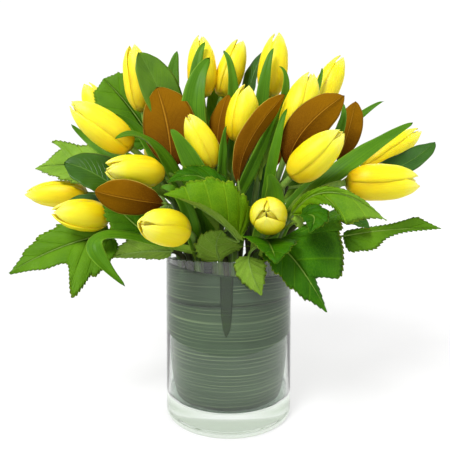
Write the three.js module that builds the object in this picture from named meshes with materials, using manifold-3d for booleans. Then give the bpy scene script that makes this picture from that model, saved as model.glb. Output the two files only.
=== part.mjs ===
// A florist's bunch of yellow tulips with viburnum and magnolia foliage, standing in water in a
// heavy-bottomed glass cylinder vase that is lined with aspidistra leaves.
// Millimetres, +Z up. The origin is the centre of the vase's base, and -Y is the front.
import * as THREE from 'three';
import { mergeVertices } from 'three/addons/utils/BufferGeometryUtils.js';
import Module from 'manifold-3d';

const wasm = await Module();
wasm.setup();

// Driving dimensions
const GAP = 0.3;
const VASE = { radius: 61, height: 151, wall: 2.2, floor: 20, heel: 3.5, lip: 1, fillet: 3, sides: 26 };
const LINING = {
  thick: 0.8, slack: 0.3, footRadius: 50, belly: 64, bellyRadius: 56.6, seam: 113, lap: 11,
  topLow: 136.5, topHigh: 147, sides: 26,
};
const WATER = { level: 120, holeSlack: 0.4, holeRunOn: 0.1 };
const TULIP_STEM = { radius: 3.2, sides: 5, steps: 4 };
const SPRIG_STEM = { magnolia: 2.9, viburnum: 2.6, sides: 5, steps: 4 };
const STALK = { radius: 1.3, sides: 4, steps: 2, bow: 0.4, underBlade: 0.12, leaves: 0.97 };
const BUNCH = {
  rimRadius: 50, rimSlack: 2.4, rimDrop: 4, footScale: 0.86, twist: 15 * Math.PI / 180,
  clearance: 1.8, fanDepth: 36, rounds: 240,
};
const BEND = { reach: 0.34, sprigLean: 0.5 };
const BLADE = { tulip: 1.1, magnolia: 1.2, viburnum: 0.9, edge: 0.6, fold: 0.25 };
const BLADE_ROWS = { tulip: 5, magnolia: 4 };

const MATERIALS = {
  glass: new THREE.MeshStandardMaterial({
    color: 0xdfe9e4, roughness: 0.03, transparent: true, opacity: 0.3,
  }),
  water: new THREE.MeshStandardMaterial({
    color: 0xd8e6e0, roughness: 0.02, transparent: true, opacity: 0.4,
  }),
  lining: new THREE.MeshStandardMaterial({ color: 0x5d7463, roughness: 0.45 }),
  petal: new THREE.MeshStandardMaterial({ color: 0xf6d81b, roughness: 0.5 }),
  tulipGreen: new THREE.MeshStandardMaterial({ color: 0x55933a, roughness: 0.5 }),
  viburnum: new THREE.MeshStandardMaterial({ color: 0x3f8526, roughness: 0.55 }),
  magnolia: new THREE.MeshStandardMaterial({ color: 0x8a4f12, roughness: 0.5 }),
};

// Half of a viburnum leaf's outline from its foot to its tip, as [share along, share of the half width]:
// out to each tooth and back in to the notch after it.
const OVATE = [
  [0.03, 0.5], [0.12, 0.76], [0.26, 0.96], [0.3, 0.88], [0.46, 1], [0.49, 0.88],
  [0.66, 0.8], [0.68, 0.68], [0.82, 0.48], [0.84, 0.36],
];
const LOBED = [
  [-0.02, 0.4], [0.28, 0.78], [0.33, 0.74], [0.46, 0.92], [0.57, 1],
  [0.5, 0.5], [0.54, 0.36], [0.7, 0.3], [0.82, 0.17],
];
const BROAD = [
  [-0.04, 0.4], [0.02, 0.9], [0.04, 1.3], [0.1, 1.42], [0.2, 1.33], [0.29, 1.2], [0.27, 1.12],
  [0.41, 1], [0.4, 0.94], [0.54, 0.84], [0.65, 0.75], [0.82, 0.5], [0.74, 0.24],
  [0.72, 0.12], [0.84, 0.07],
];
const BLUNT = [
  [-0.02, 0.42], [0.1, 0.78], [0.14, 0.75], [0.28, 0.97], [0.33, 0.92], [0.52, 1], [0.56, 0.92],
  [0.74, 0.86], [0.78, 0.76], [0.92, 0.54], [0.93, 0.42],
];
const HOOKED = [
  [-0.02, 0.4], [0.14, 0.75], [0.33, 0.97], [0.45, 0.88], [0.6, 0.94], [0.78, 1], [0.64, 0.7],
  [0.7, 0.52], [0.82, 0.2], [0.9, 0.1],
];
const BASAL = [
  [0, 0.62], [0.04, 0.95], [0.15, 0.96], [0.2, 1], [0.3, 0.92], [0.36, 0.7], [0.44, 0.4], [0.6, 0.16],
  [0.85, 0.08],
];
const LATE_LOBE = [
  [0.05, 0.42], [0.3, 0.42], [0.5, 0.5], [0.65, 0.76], [0.76, 1], [0.84, 0.64], [0.92, 0.3],
];

// Each tulip: the foot and the point of its flower, its width, how it is turned about its own axis,
// how far its tips part, and its leaves. A leaf leaves the stem at a share of the length above the rim,
// and runs by way of a midway point to its tip. Where a stem would stand in another's way at the rim,
// lean gives the place that it leans towards instead of the flower's foot.
const FRONT = [0, -1, 0.25];
const BACK = [0, 1, 0.1];
const LEFT = [-0.6, -1, 0.2];
const RIGHT = [0.6, -1, 0.2];
const TULIPS = [
  { name: 'upper_left', foot: [-86, 12, 294], tip: [-94, 6, 358], width: 29, turn: 20, open: 0.5,
    leaves: [{ at: 0.5, via: [-61, 24, 304], tip: [-53, 24, 360], width: 25, face: FRONT }] },
  { name: 'far_left_back', foot: [-135, 55, 285], tip: [-157, 50, 335], width: 28, turn: 0, open: 0.5,
    leaves: [] },
  { name: 'left_shoulder', foot: [-86, -38, 249], tip: [-132, -58, 283], width: 30, turn: 65, open: 0.05,
    leaves: [
      { at: 0.5, via: [-121, -10, 252], tip: [-149, -14, 276], width: 14, face: [-0.3, -1, 0.6] },
      { at: 0.55, via: [-82, 2, 264], tip: [-109, -14, 285], width: 15, face: [0.3, -1, 0.6] },
    ] },
  { name: 'left_open', foot: [-59, -38, 227], tip: [-99, -72, 227], width: 28, turn: 15, open: 0.9,
    leaves: [{ at: 0.45, via: [-66, -40, 250], tip: [-93, -66, 252], width: 20, face: [0.15, -0.8, 1] }] },
  { name: 'far_left', foot: [-143, 12, 211], tip: [-203, 6, 211], width: 27, turn: 10, open: 0.3,
    leaves: [] },
  { name: 'low_left', foot: [-108, -32, 188], tip: [-149, -56, 193], width: 28, turn: 30, open: 0.15,
    leaves: [{ at: 0.6, via: [-108, -46, 172], tip: [-121, -50, 163], width: 14, face: [0, -0.6, 1] }] },
  { name: 'front_left', foot: [-36, -66, 177], tip: [-64, -108, 185], width: 29, turn: 90, open: 0.1,
    lean: [-50, -60],
    leaves: [
      { at: 0.17, via: [-101, -76, 172], tip: [-81, -84, 135], width: 18, face: [-0.2, -0.5, 1] },
      { at: 0.1, via: [-38, -58, 200], tip: [-57, -62, 213], width: 15, face: [0.3, -1, 0.4] },
    ] },
  { name: 'front_upper', foot: [-13, -30, 233], tip: [-36, -44, 277], width: 26, turn: 55, open: 0.15,
    leaves: [
      { at: 0.35, via: [-33, -44, 236], tip: [-50, -50, 264], width: 22, face: FRONT },
      { at: 0.4, via: [-6, -40, 242], tip: [-2, -42, 268], width: 11, face: RIGHT },
    ] },
  { name: 'centre', foot: [9, -22, 257], tip: [17, -30, 307], width: 30, turn: 35, open: 0.3,
    lean: [-2, -22],
    leaves: [{ at: 0.4, via: [36, -26, 266], tip: [46, -22, 294], width: 13, face: RIGHT }] },
  { name: 'top_left', foot: [-27, 25, 312], tip: [-28, 22, 374], width: 30, turn: 10, open: 0.2,
    leaves: [
      { at: 0.4, via: [-32, 6, 310], tip: [-23, 8, 362], width: 20, face: FRONT },
      { at: 0.3, via: [-34, -8, 284], tip: [-18, -2, 342], width: 29, face: FRONT },
      { at: 0.04, via: [-25, 10, 184], tip: [-28, 6, 214], width: 19, face: FRONT },
    ] },
  { name: 'top_centre', foot: [-7, 30, 314], tip: [14, 32, 374], width: 28, turn: 0, open: 1.1,
    lean: [14, 40],
    leaves: [
      { at: 0.43, via: [4, 8, 310], tip: [-5, 10, 354], width: 16, face: RIGHT },
      { at: 0.62, via: [-16, 47, 300], tip: [-15, 47, 342], width: 19, face: FRONT },
      { at: 0.03, via: [8, 22, 170], tip: [8, 22, 196], width: 19, face: FRONT },
    ] },
  { name: 'top_right', foot: [41, 8, 307], tip: [48, 4, 369], width: 29, turn: 30, open: 0.2,
    leaves: [
      { at: 0.48, via: [32, -14, 304], tip: [42, -15, 347], width: 15, face: FRONT },
      { at: 0.57, via: [53, -7, 304], tip: [48, -11, 331], width: 13, face: RIGHT },
    ] },
  { name: 'right_upper', foot: [56, -26, 258], tip: [74, -32, 318], width: 32, turn: 35, open: 0.15,
    leaves: [{ at: 0.29, via: [40, -46, 244], tip: [50, -48, 281], width: 12, face: LEFT }] },
  { name: 'right_back', foot: [89, 22, 296], tip: [117, 22, 353], width: 27, turn: 0, open: 0.1,
    leaves: [
      { at: 0.5, via: [121, 2, 281], tip: [152, 0, 301], width: 11, face: FRONT },
      { at: 0.55, via: [84, 4, 304], tip: [92, 4, 335], width: 10, face: FRONT },
      { at: 0.37, via: [92, -24, 250], tip: [103, -30, 292], width: 13, face: FRONT },
    ] },
  { name: 'right_front', foot: [52, -55, 222], tip: [89, -76, 256], width: 30, turn: 50, open: 0.25,
    lean: [62, -44], leaves: [] },
  { name: 'far_right', foot: [134, 8, 235], tip: [189, 4, 274], width: 25, turn: 15, open: 0.3, leaves: [] },
  { name: 'right_open', foot: [101, -46, 218], tip: [160, -54, 219], width: 31, turn: 30, open: 0.8,
    lean: [101, -58],
    leaves: [
      { at: 0.45, via: [104, -38, 233], tip: [168, -26, 274], width: 19, face: [-0.3, -0.8, 0.6] },
      { at: 0.1, via: [59, -27, 201], tip: [80, -26, 223], width: 13, face: FRONT },
    ] },
  { name: 'front_centre', foot: [35, -54, 187], tip: [25, -112, 193], width: 29, turn: 60, open: 0.5,
    lean: [38, -48],
    leaves: [{ at: 0.15, via: [38, -46, 196], tip: [32, -60, 225], width: 24, face: FRONT }] },
  { name: 'back_left', foot: [-70, 76, 240], tip: [-101, 112, 280], width: 29, turn: 0, open: 0.25,
    leaves: [{ at: 0.4, via: [-96, 70, 240], tip: [-128, 92, 266], width: 22, face: [0.2, 1, 0.6] }] },
  { name: 'back_centre', foot: [4, 84, 266], tip: [10, 118, 318], width: 29, turn: 20, open: 0.3,
    leaves: [{ at: 0.4, via: [-18, 84, 254], tip: [-26, 100, 296], width: 22, face: BACK }] },
  { name: 'back_right', foot: [74, 74, 244], tip: [106, 108, 284], width: 29, turn: 40, open: 0.25,
    leaves: [{ at: 0.4, via: [100, 62, 244], tip: [138, 84, 266], width: 22, face: [-0.2, 1, 0.6] }] },
  { name: 'back_low', foot: [-26, 104, 200], tip: [-36, 160, 218], width: 28, turn: 10, open: 0.2,
    leaves: [{ at: 0.35, via: [-4, 104, 200], tip: [4, 134, 176], width: 24, face: [0, 0.6, 1] }] },
];

// Each sprig: where its stem ends, and its leaves, each at a share of the stem's bend. A leaf has the foot,
// a midway point and the tip of its blade, its width or its two halves' outlines and widths, the way its
// upper side faces, and where they differ from the usual, the angles in radians that its halves fold up by.
const SPRIGS = [
  { kind: 'magnolia', name: 'left_centre', top: [-48, -10, 230], leaves: [
    { at: 0.9, foot: [-53, -20, 234], via: [-57, -17, 272], tip: [-68, -12, 311],
      width: 54, face: [0.1, 1, 0.1] },
    { at: 1, foot: [-56, 6, 266], via: [-65, 1, 304], tip: [-86, -9, 345], width: 42, face: [0.5, -1, 0.2] },
  ] },
  { kind: 'magnolia', name: 'left', top: [-66, -40, 196], leaves: [
    { at: 0.95, foot: [-90, -26, 204], via: [-120, -29, 226], tip: [-148, -33, 237],
      width: 46, face: [0.2, -0.8, 0.7] },
    { at: 1, foot: [-54, -60, 200], via: [-78, -74, 203], tip: [-104, -84, 209],
      width: 30, face: [0, 1, 0.2] },
    { at: 0.8, foot: [-111, -12, 200], via: [-135, -14, 204], tip: [-153, -18, 200],
      width: 18, face: [0, -0.5, 1] },
  ] },
  { kind: 'magnolia', name: 'centre', top: [19, -12, 234], lean: [30, -18], leaves: [
    { at: 0.55, foot: [8, -52, 216], via: [16, -50, 252], tip: [49, -40, 296],
      width: 22, face: [-0.8, 1, 0] },
    { at: 0.8, foot: [-8, -8, 246], via: [-9, -8, 275], tip: [0, -6, 306], width: 26, face: [0.5, 1, 0] },
    { at: 1, foot: [24, 33, 296], via: [25, 33, 330], tip: [39, 32, 364],
      width: 26, face: [-0.8, -0.6, 0.2] },
  ] },
  { kind: 'magnolia', name: 'right_centre', top: [56, -12, 218], leaves: [
    { at: 0.9, foot: [51, -42, 234], via: [64, -50, 263], tip: [99, -46, 293],
      width: 34, face: [-0.2, 1, -0.1] },
    { at: 1, foot: [104, -12, 241], via: [113, -13, 268], tip: [120, -12, 298],
      width: 25, face: [0.3, 1, 0] },
  ] },
  { kind: 'magnolia', name: 'right', top: [86, -18, 206], lean: [90, -24], leaves: [
    { at: 1, foot: [122, -22, 230], via: [158, -22, 235], tip: [191, -22, 258],
      width: 24, face: [-0.3, -0.8, 0.6] },
    { at: 0.85, foot: [98, -34, 185], via: [112, -38, 185], tip: [124, -42, 178],
      width: 13, face: [0, -1, 0.8] },
  ] },
  { kind: 'magnolia', name: 'back', top: [24, 70, 208], leaves: [
    { at: 1, foot: [40, 82, 240], via: [50, 92, 274], tip: [58, 96, 304], width: 44, face: [0, 1, 0.2] },
    { at: 0.8, foot: [-42, 88, 244], via: [-50, 96, 266], tip: [-60, 98, 294],
      width: 36, face: [0, -1, 0.2] },
    { at: 0.3, foot: [22, 38, 186], via: [28, 38, 220], tip: [38, 38, 266], width: 44, face: [0.1, -1, 0] },
    { at: 0.2, foot: [-18, 31, 180], via: [-25, 34, 217], tip: [-38, 37, 264],
      width: 42, face: [-0.1, -1, 0] },
  ] },
  { kind: 'viburnum', name: 'left_front', top: [-70, -34, 168], leaves: [
    { at: 0.88, foot: [-110, -24, 173], via: [-148, -40, 162], tip: [-188, -54, 141],
      halves: [[OVATE, 21], [LOBED, 54]], face: [-0.1, -1, 0.5] },
    { at: 1, foot: [-52, -38, 158], via: [-80, -34, 157], tip: [-106, -34, 152],
      halves: [[OVATE, 13], [OVATE, 17]], face: [0, 0.8, 0.6] },
    { at: 0.92, foot: [-77, -36, 176], via: [-94, -40, 192], tip: [-108, -44, 211],
      halves: [[OVATE, 17], [OVATE, 17]], face: [0.2, -1, 0.2] },
  ] },
  { kind: 'viburnum', name: 'left_back', top: [-84, 24, 250], leaves: [
    { at: 0.75, foot: [-128, 6, 230], via: [-163, 12, 240], tip: [-200, 20, 238],
      halves: [[HOOKED, 28], [OVATE, 22]], face: [0.2, -1, 0.6] },
    { at: 1, foot: [-80, 32, 266], via: [-104, 36, 303], tip: [-134, 38, 336],
      halves: [[BLUNT, 29], [BLUNT, 36]], face: [0.1, -1, 0.2] },
  ] },
  { kind: 'viburnum', name: 'centre_front', top: [-4, -54, 176], leaves: [
    { at: 1, foot: [-2, -52, 200], via: [-24, -58, 222], tip: [-50, -70, 216],
      halves: [[OVATE, 16], [OVATE, 22]], face: [0, -0.7, 1] },
    { at: 0.9, foot: [7, -66, 170], via: [-17, -82, 192], tip: [-50, -86, 207],
      halves: [[OVATE, 32], [OVATE, 17]], face: [0.1, -1, 0.5], folds: [0.3, 1.4] },
    { at: 0.5, foot: [-8, -50, 152], via: [-11, -54, 165], tip: [-6, -60, 177],
      halves: [[OVATE, 18], [OVATE, 28]], face: [0, 1, 0.4], folds: [0.1, 0.1] },
  ] },
  { kind: 'viburnum', name: 'front_right', top: [28, -54, 168], lean: [20, -56], leaves: [
    { at: 0.9, foot: [16, -64, 156], via: [18, -72, 144], tip: [26, -74, 126],
      halves: [[OVATE, 13], [OVATE, 13]], face: [0, 1, 0.3] },
    { at: 1, foot: [30, -60, 169], via: [31, -90, 167], tip: [32, -116, 158],
      halves: [[OVATE, 22], [OVATE, 22]], face: [0.1, -0.6, 1] },
    { at: 0.8, foot: [38, -66, 166], via: [53, -84, 152], tip: [74, -92, 117],
      halves: [[OVATE, 23], [BROAD, 52]], face: [0.2, -1, 0.4], folds: [0.25, 0.05] },
    { at: 1, foot: [57, -81, 188], via: [63, -93, 189], tip: [58, -101, 177],
      halves: [[OVATE, 16], [OVATE, 12]], face: [0, -1, 0.6] },
  ] },
  { kind: 'viburnum', name: 'right', top: [66, -44, 182], lean: [60, -58], leaves: [
    { at: 1, foot: [52, -62, 191], via: [79, -82, 208], tip: [119, -88, 186],
      halves: [[LATE_LOBE, 22], [OVATE, 5]], face: [0, -1, 0.3] },
    { at: 0.7, foot: [104, -30, 171], via: [146, -35, 177], tip: [188, -40, 178],
      halves: [[BASAL, 17], [LATE_LOBE, 10]], face: [0, -1, 0.25] },
  ] },
  { kind: 'viburnum', name: 'back', top: [10, 80, 174], leaves: [
    { at: 0.86, foot: [-34, 96, 178], via: [-66, 116, 186], tip: [-98, 132, 172],
      halves: [[LOBED, 40], [LOBED, 40]], face: [0, 0.5, 1] },
    { at: 1, foot: [18, 99, 177], via: [26, 122, 172], tip: [32, 146, 148],
      halves: [[OVATE, 28], [OVATE, 28]], face: [0, 0.6, 1] },
    { at: 0.8, foot: [58, 88, 176], via: [90, 104, 190], tip: [122, 116, 184],
      halves: [[LOBED, 40], [LOBED, 40]], face: [0, 0.5, 1] },
  ] },
];

const vec = (a) => new THREE.Vector3(...a);

// A closed triangle mesh as a solid, with its shared vertices merged.
function solidOf(geometry) {
  const bare = new THREE.BufferGeometry();
  bare.setAttribute('position', geometry.getAttribute('position'));
  if (geometry.index) bare.setIndex(geometry.index);
  const merged = mergeVertices(bare, 1e-4);
  const index = merged.index.array;
  const kept = [];
  for (let i = 0; i < index.length; i += 3) {
    const [a, b, c] = [index[i], index[i + 1], index[i + 2]];
    if (a !== b && b !== c && a !== c) kept.push(a, b, c);
  }
  return new wasm.Manifold(new wasm.Mesh({
    numProp: 3,
    vertProperties: new Float32Array(merged.attributes.position.array),
    triVerts: new Uint32Array(kept),
  }));
}

function meshOf(name, solid, material) {
  const made = solid.getMesh();
  const geometry = new THREE.BufferGeometry();
  geometry.setAttribute('position', new THREE.BufferAttribute(new Float32Array(made.vertProperties), 3));
  geometry.setIndex(new THREE.BufferAttribute(new Uint32Array(made.triVerts), 1));
  geometry.computeVertexNormals();
  const mesh = new THREE.Mesh(geometry, material);
  mesh.name = name;
  return mesh;
}

function union(solids) {
  return solids.reduce((all, next) => all.add(next));
}

// A round rod along a curve.
function rod(curve, radius, sides, steps) {
  const points = [];
  for (let i = 0; i < sides; i++) {
    const a = i / sides * 2 * Math.PI;
    points.push(new THREE.Vector2(radius * Math.cos(a), radius * Math.sin(a)));
  }
  const settings = { steps, extrudePath: curve, bevelEnabled: false };
  return solidOf(new THREE.ExtrudeGeometry(new THREE.Shape(points), settings));
}

// A turned shape from its profile of [radius, height].
function turned(profile, sides) {
  const points = profile.map(([r, z]) => new THREE.Vector2(r, z));
  return new THREE.LatheGeometry(points, sides).rotateX(Math.PI / 2);
}

// The vase, its lining and the water

function vaseSolid() {
  const { radius, height, wall, floor, heel, lip, fillet, sides } = VASE;
  const inner = radius - wall;
  return solidOf(turned([
    [0, 0], [radius - heel, 0], [radius, heel], [radius, height - lip], [radius - wall / 2, height],
    [inner, height - lip], [inner, floor + fillet], [inner - fillet, floor], [0, floor],
  ], sides));
}

// The outside radius of the upper lining leaf, close inside the glass.
const UPPER_OUTER = VASE.radius - VASE.wall - GAP - LINING.slack;

// The outside radius of the lower lining leaf at a height: it leans in from inside the upper leaf to a
// belly, and further in from there to its foot.
function liningOuter(z) {
  const { belly, bellyRadius, footRadius, seam, lap } = LINING;
  const top = UPPER_OUTER - LINING.thick - GAP - LINING.slack;
  return z < belly
    ? THREE.MathUtils.mapLinear(z, VASE.floor, belly, footRadius, bellyRadius)
    : THREE.MathUtils.mapLinear(z, belly, seam + lap, bellyRadius, top);
}

// The pointed end of the upper leaf, hanging down at the front of the lower one: its corners from the
// front as [x, height].
const LINING_TIP = {
  corners: [[-7.2, 114.5], [-6.2, 101], [-5, 93], [-2.6, 86.4], [0.7, 93], [1.9, 101], [2.7, 114.5]],
  thick: 0.6, inset: 0.65,
};

function liningTip() {
  const shape = new THREE.Shape(LINING_TIP.corners.map(([x, z]) => new THREE.Vector2(x, z)));
  const plate = new THREE.ExtrudeGeometry(shape, { depth: LINING_TIP.thick, bevelEnabled: false });
  plate.rotateX(Math.PI / 2).translate(0, LINING_TIP.inset + LINING_TIP.thick - UPPER_OUTER, 0);
  return solidOf(plate);
}

// The upper leaf's top edge is cut on a slant, high at the left and low from the front to the right.
function liningSolids() {
  const foot = VASE.floor + GAP;
  const lowerTop = LINING.seam + LINING.lap;
  const inside = (z) => liningOuter(z) - LINING.thick;
  const lower = solidOf(turned([
    [inside(foot), foot], [liningOuter(foot), foot], [liningOuter(LINING.belly), LINING.belly],
    [liningOuter(lowerTop), lowerTop], [inside(lowerTop), lowerTop],
    [inside(LINING.belly), LINING.belly], [inside(foot), foot],
  ], LINING.sides));
  const inner = UPPER_OUTER - LINING.thick;
  const upper = turned([
    [inner, LINING.seam], [UPPER_OUTER, LINING.seam], [UPPER_OUTER, LINING.topHigh],
    [inner, LINING.topHigh], [inner, LINING.seam],
  ], LINING.sides);
  const position = upper.getAttribute('position');
  for (let i = 0; i < position.count; i++) {
    if (position.getZ(i) > LINING.seam + LINING.lap) {
      const slant = 0.5 - 0.5 * position.getX(i) / UPPER_OUTER;
      position.setZ(i, LINING.topLow + (LINING.topHigh - LINING.topLow) * slant ** 2);
    }
  }
  return { lower, upper: solidOf(upper).add(liningTip()) };
}

// Stems

// A stem runs straight from the vase's floor to the rim, then bends over to its end.
// The straight run takes one step of the extrusion, and the bend takes the rest.
class StemPath extends THREE.Curve {
  constructor(foot, rim, end, direction, steps) {
    super();
    const rise = rim.clone().sub(foot).normalize();
    const handle = rim.distanceTo(end) * BEND.reach;
    this.foot = foot;
    this.rim = rim;
    this.split = 1 / steps;
    this.bend = new THREE.CubicBezierCurve3(
      rim, rim.clone().addScaledVector(rise, handle), end.clone().addScaledVector(direction, -handle), end,
    );
  }

  getPoint(t, target = new THREE.Vector3()) {
    return t < this.split
      ? target.lerpVectors(this.foot, this.rim, t / this.split)
      : this.bend.getPoint((t - this.split) / (1 - this.split), target);
  }

  getPointAt(u, target) {
    return this.getPoint(u, target);
  }

  getTangentAt(u, target) {
    return this.getTangent(u, target);
  }

  // A point at a share of the length above the rim.
  above(share) {
    return this.bend.getPoint(share);
  }
}

// Spreads the stems over the rim's opening: each leans the way its end lies, and they push each other apart.
function rimPlaces(ends, radii) {
  const places = ends.map((end) => {
    const reach = Math.hypot(end.x, end.y);
    const fanned = reach * (VASE.height + BUNCH.fanDepth) / (end.z + BUNCH.fanDepth);
    const radius = BUNCH.rimRadius * Math.tanh(fanned / BUNCH.rimRadius);
    return new THREE.Vector2(end.x, end.y).multiplyScalar(radius / Math.max(reach, 1));
  });
  for (let round = 0; round < BUNCH.rounds; round++) {
    for (let i = 0; i < places.length; i++) {
      for (let j = 0; j < i; j++) {
        const apart = places[i].clone().sub(places[j]);
        const need = radii[i] + radii[j] + BUNCH.clearance - apart.length();
        if (need > 0) {
          apart.setLength(need / 2);
          places[i].add(apart);
          places[j].sub(apart);
        }
      }
    }
    places.forEach((p, i) => p.clampLength(0, BUNCH.rimRadius + BUNCH.rimSlack - radii[i]));
  }
  return places;
}

function stemPath(place, end, direction, steps) {
  const rim = new THREE.Vector3(place.x, place.y, VASE.height - BUNCH.rimDrop);
  const foot = place.clone().multiplyScalar(BUNCH.footScale);
  foot.rotateAround(new THREE.Vector2(), BUNCH.twist);
  return new StemPath(new THREE.Vector3(foot.x, foot.y, VASE.floor + GAP), rim, end, direction, steps);
}

// Leaves

// A thin closed solid round a sheet of points: alike triangles on both faces, joined round the edge.
function thicken({ points, normals, thicks, triangles }) {
  const count = points.length;
  const positions = [];
  for (const side of [0.5, -0.5]) {
    points.forEach((p, i) => {
      positions.push(...p.clone().addScaledVector(normals[i], side * thicks[i]).toArray());
    });
  }
  const index = [];
  const edges = new Set();
  for (const [a, b, c] of triangles) {
    index.push(a, b, c, a + count, c + count, b + count);
    for (const [p, q] of [[a, b], [b, c], [c, a]]) edges.add(p + ',' + q);
  }
  for (const edge of edges) {
    const [p, q] = edge.split(',').map(Number);
    if (!edges.has(q + ',' + p)) index.push(p, p + count, q, q, p + count, q + count);
  }
  const geometry = new THREE.BufferGeometry();
  geometry.setAttribute('position', new THREE.BufferAttribute(new Float32Array(positions), 3));
  geometry.setIndex(index);
  return solidOf(geometry);
}

// A leaf's own surface: a midrib through three points, with a side and a face at each place along it.
// The half on each side folds up from the midrib by its own angle.
class LeafSurface {
  constructor({ foot, via, tip, face, folds = [BLADE.fold, BLADE.fold] }) {
    const control = via.clone().multiplyScalar(2).sub(foot.clone().add(tip).multiplyScalar(0.5));
    this.midrib = new THREE.QuadraticBezierCurve3(foot, control, tip);
    this.length = this.midrib.getLength();
    this.face = vec(face);
    this.folds = folds;
  }

  frame(s) {
    const held = THREE.MathUtils.clamp(s, 0, 1);
    const along = this.midrib.getTangent(held);
    const face = this.face.clone().addScaledVector(along, -this.face.dot(along)).normalize();
    const at = this.midrib.getPoint(held).addScaledVector(along, (s - held) * this.length);
    return { at, face, side: along.clone().cross(face) };
  }

  foldAt(w) {
    return w < 0 ? this.folds[1] : this.folds[0];
  }

  // The point w to the side of the midrib.
  point(s, w) {
    const { at, face, side } = this.frame(s);
    const fold = this.foldAt(w);
    return at.addScaledVector(side, w * Math.cos(fold)).addScaledVector(face, Math.abs(w) * Math.sin(fold));
  }

  normal(s, w) {
    const { face, side } = this.frame(s);
    const fold = this.foldAt(w);
    const lean = w === 0 ? 0 : -Math.sign(w) * Math.sin(fold);
    return face.multiplyScalar(w === 0 ? 1 : Math.cos(fold)).addScaledVector(side, lean).normalize();
  }
}

// A blade with smooth edges: rows along it, and a half on each side of the midrib.
function smoothBlade(surface, halfWidth, rows, thick) {
  const points = [], normals = [], thicks = [], triangles = [];
  for (let row = 0; row <= rows; row++) {
    const s = row / rows;
    for (const u of [-1, 0, 1]) {
      const w = u * halfWidth(s);
      points.push(surface.point(s, w));
      normals.push(surface.normal(s, w));
      thicks.push(u === 0 ? thick : BLADE.edge);
    }
    if (row === 0) continue;
    for (const c of [0, 1]) {
      const [a, b] = [3 * (row - 1) + c, 3 * row + c];
      triangles.push([a, a + 1, b + 1], [a, b + 1, b]);
    }
  }
  return thicken({ points, normals, thicks, triangles });
}

// The half width of a blade at a share of its length: a tulip's leaf is a strap that keeps its width
// down to its foot, and a magnolia's is an oval that narrows to both ends.
const TULIP_BLADE = { foot: 0.22, start: 0.12, belly: 0.8, tip: 1.04, tipPower: 6 };
const MAGNOLIA_BLADE = { least: 0.03, belly: 0.92, roundness: 0.72 };

function tulipBlade(width) {
  const { foot, start, belly, tip, tipPower } = TULIP_BLADE;
  return (s) => {
    const swell = foot + (1 - foot) * Math.sin(Math.PI * Math.min(1, start + s) ** belly);
    return width / 2 * swell * Math.min(1, tip - s ** tipPower);
  };
}

function magnoliaBlade(width) {
  const { least, belly, roundness } = MAGNOLIA_BLADE;
  return (s) => width / 2 * Math.max(least, Math.sin(Math.PI * s ** belly) ** roundness);
}

// A blade with a toothed outline: each half is one band between the midrib and its edge.
const MIDRIB = [0, 0.3, 0.62, 1];

function toothedBlade(surface, halves, thick) {
  const points = [], normals = [], thicks = [], triangles = [];
  const put = (s, w, depth) => {
    points.push(surface.point(s, w));
    normals.push(surface.normal(s, w));
    thicks.push(depth);
  };
  MIDRIB.forEach((s) => put(s, 0, s === 0 || s === 1 ? BLADE.edge : thick));
  halves.forEach(([outline, width], half) => {
    const side = half === 0 ? 1 : -1;
    const first = points.length;
    outline.forEach(([s, w]) => put(s, side * w * width, BLADE.edge));
    const link = (a, b, c) => triangles.push(side > 0 ? [a, c, b] : [a, b, c]);
    let rib = 0;
    for (let i = 0; i < outline.length; i++) {
      const s = outline[i][0];
      while (rib < MIDRIB.length - 2 && Math.abs(MIDRIB[rib + 1] - s) < Math.abs(MIDRIB[rib] - s)) {
        link(rib, rib + 1, first + i);
        rib++;
      }
      if (i + 1 < outline.length) link(rib, first + i + 1, first + i);
    }
    link(rib, MIDRIB.length - 1, first + outline.length - 1);
  });
  return thicken({ points, normals, thicks, triangles });
}

// The stalk between a sprig's stem and a blade, run on a little way under the midrib.
function stalk(from, surface) {
  const start = surface.midrib.getPoint(0);
  const inside = surface.midrib.getPoint(STALK.underBlade);
  const bow = start.clone();
  bow.addScaledVector(surface.midrib.getTangent(0), -start.distanceTo(from) * STALK.bow);
  const curve = new THREE.CatmullRomCurve3([from, bow, start, inside], false, 'centripetal');
  return rod(curve, STALK.radius, STALK.sides, STALK.steps);
}

// Tulip flowers

// A tulip as one skin: three broad outer petals with a step down to the three inner ones between them.
// The rows are shares of the flower's length. Each has the petals' distance from the axis as a share of
// the half width, and the angle in degrees from a petal's middle to its edge.
const ROWS = [0, 0.12, 0.36, 0.66, 0.88, 1];
const PETAL_RADIUS = [0.2, 0.72, 1, 0.87, 0.56, 0.28];
const PETAL_SPREAD = [57, 57, 57, 50, 30, 7];
const INNER_EDGE = [58.5, 58.5, 58.5, 52, 37, 45];
const INNER_EDGE_ROWS = [0, 0.12, 0.36, 0.66, 0.82, 0.86];
const INNER_TIP_ROWS = [0, 0.12, 0.36, 0.66, 0.88, 0.97];
const INNER_STEP = 1.5;
const CUP_FLOOR = 0.72;
const PETAL_SHOULDER = 0.4;
const FLARE = { from: 0.45, power: 1.5, amount: 0.42 };

function radiusShare(t) {
  const i = Math.max(1, ROWS.findIndex((row) => t <= row));
  return THREE.MathUtils.mapLinear(t, ROWS[i - 1], ROWS[i], PETAL_RADIUS[i - 1], PETAL_RADIUS[i]);
}

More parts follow.
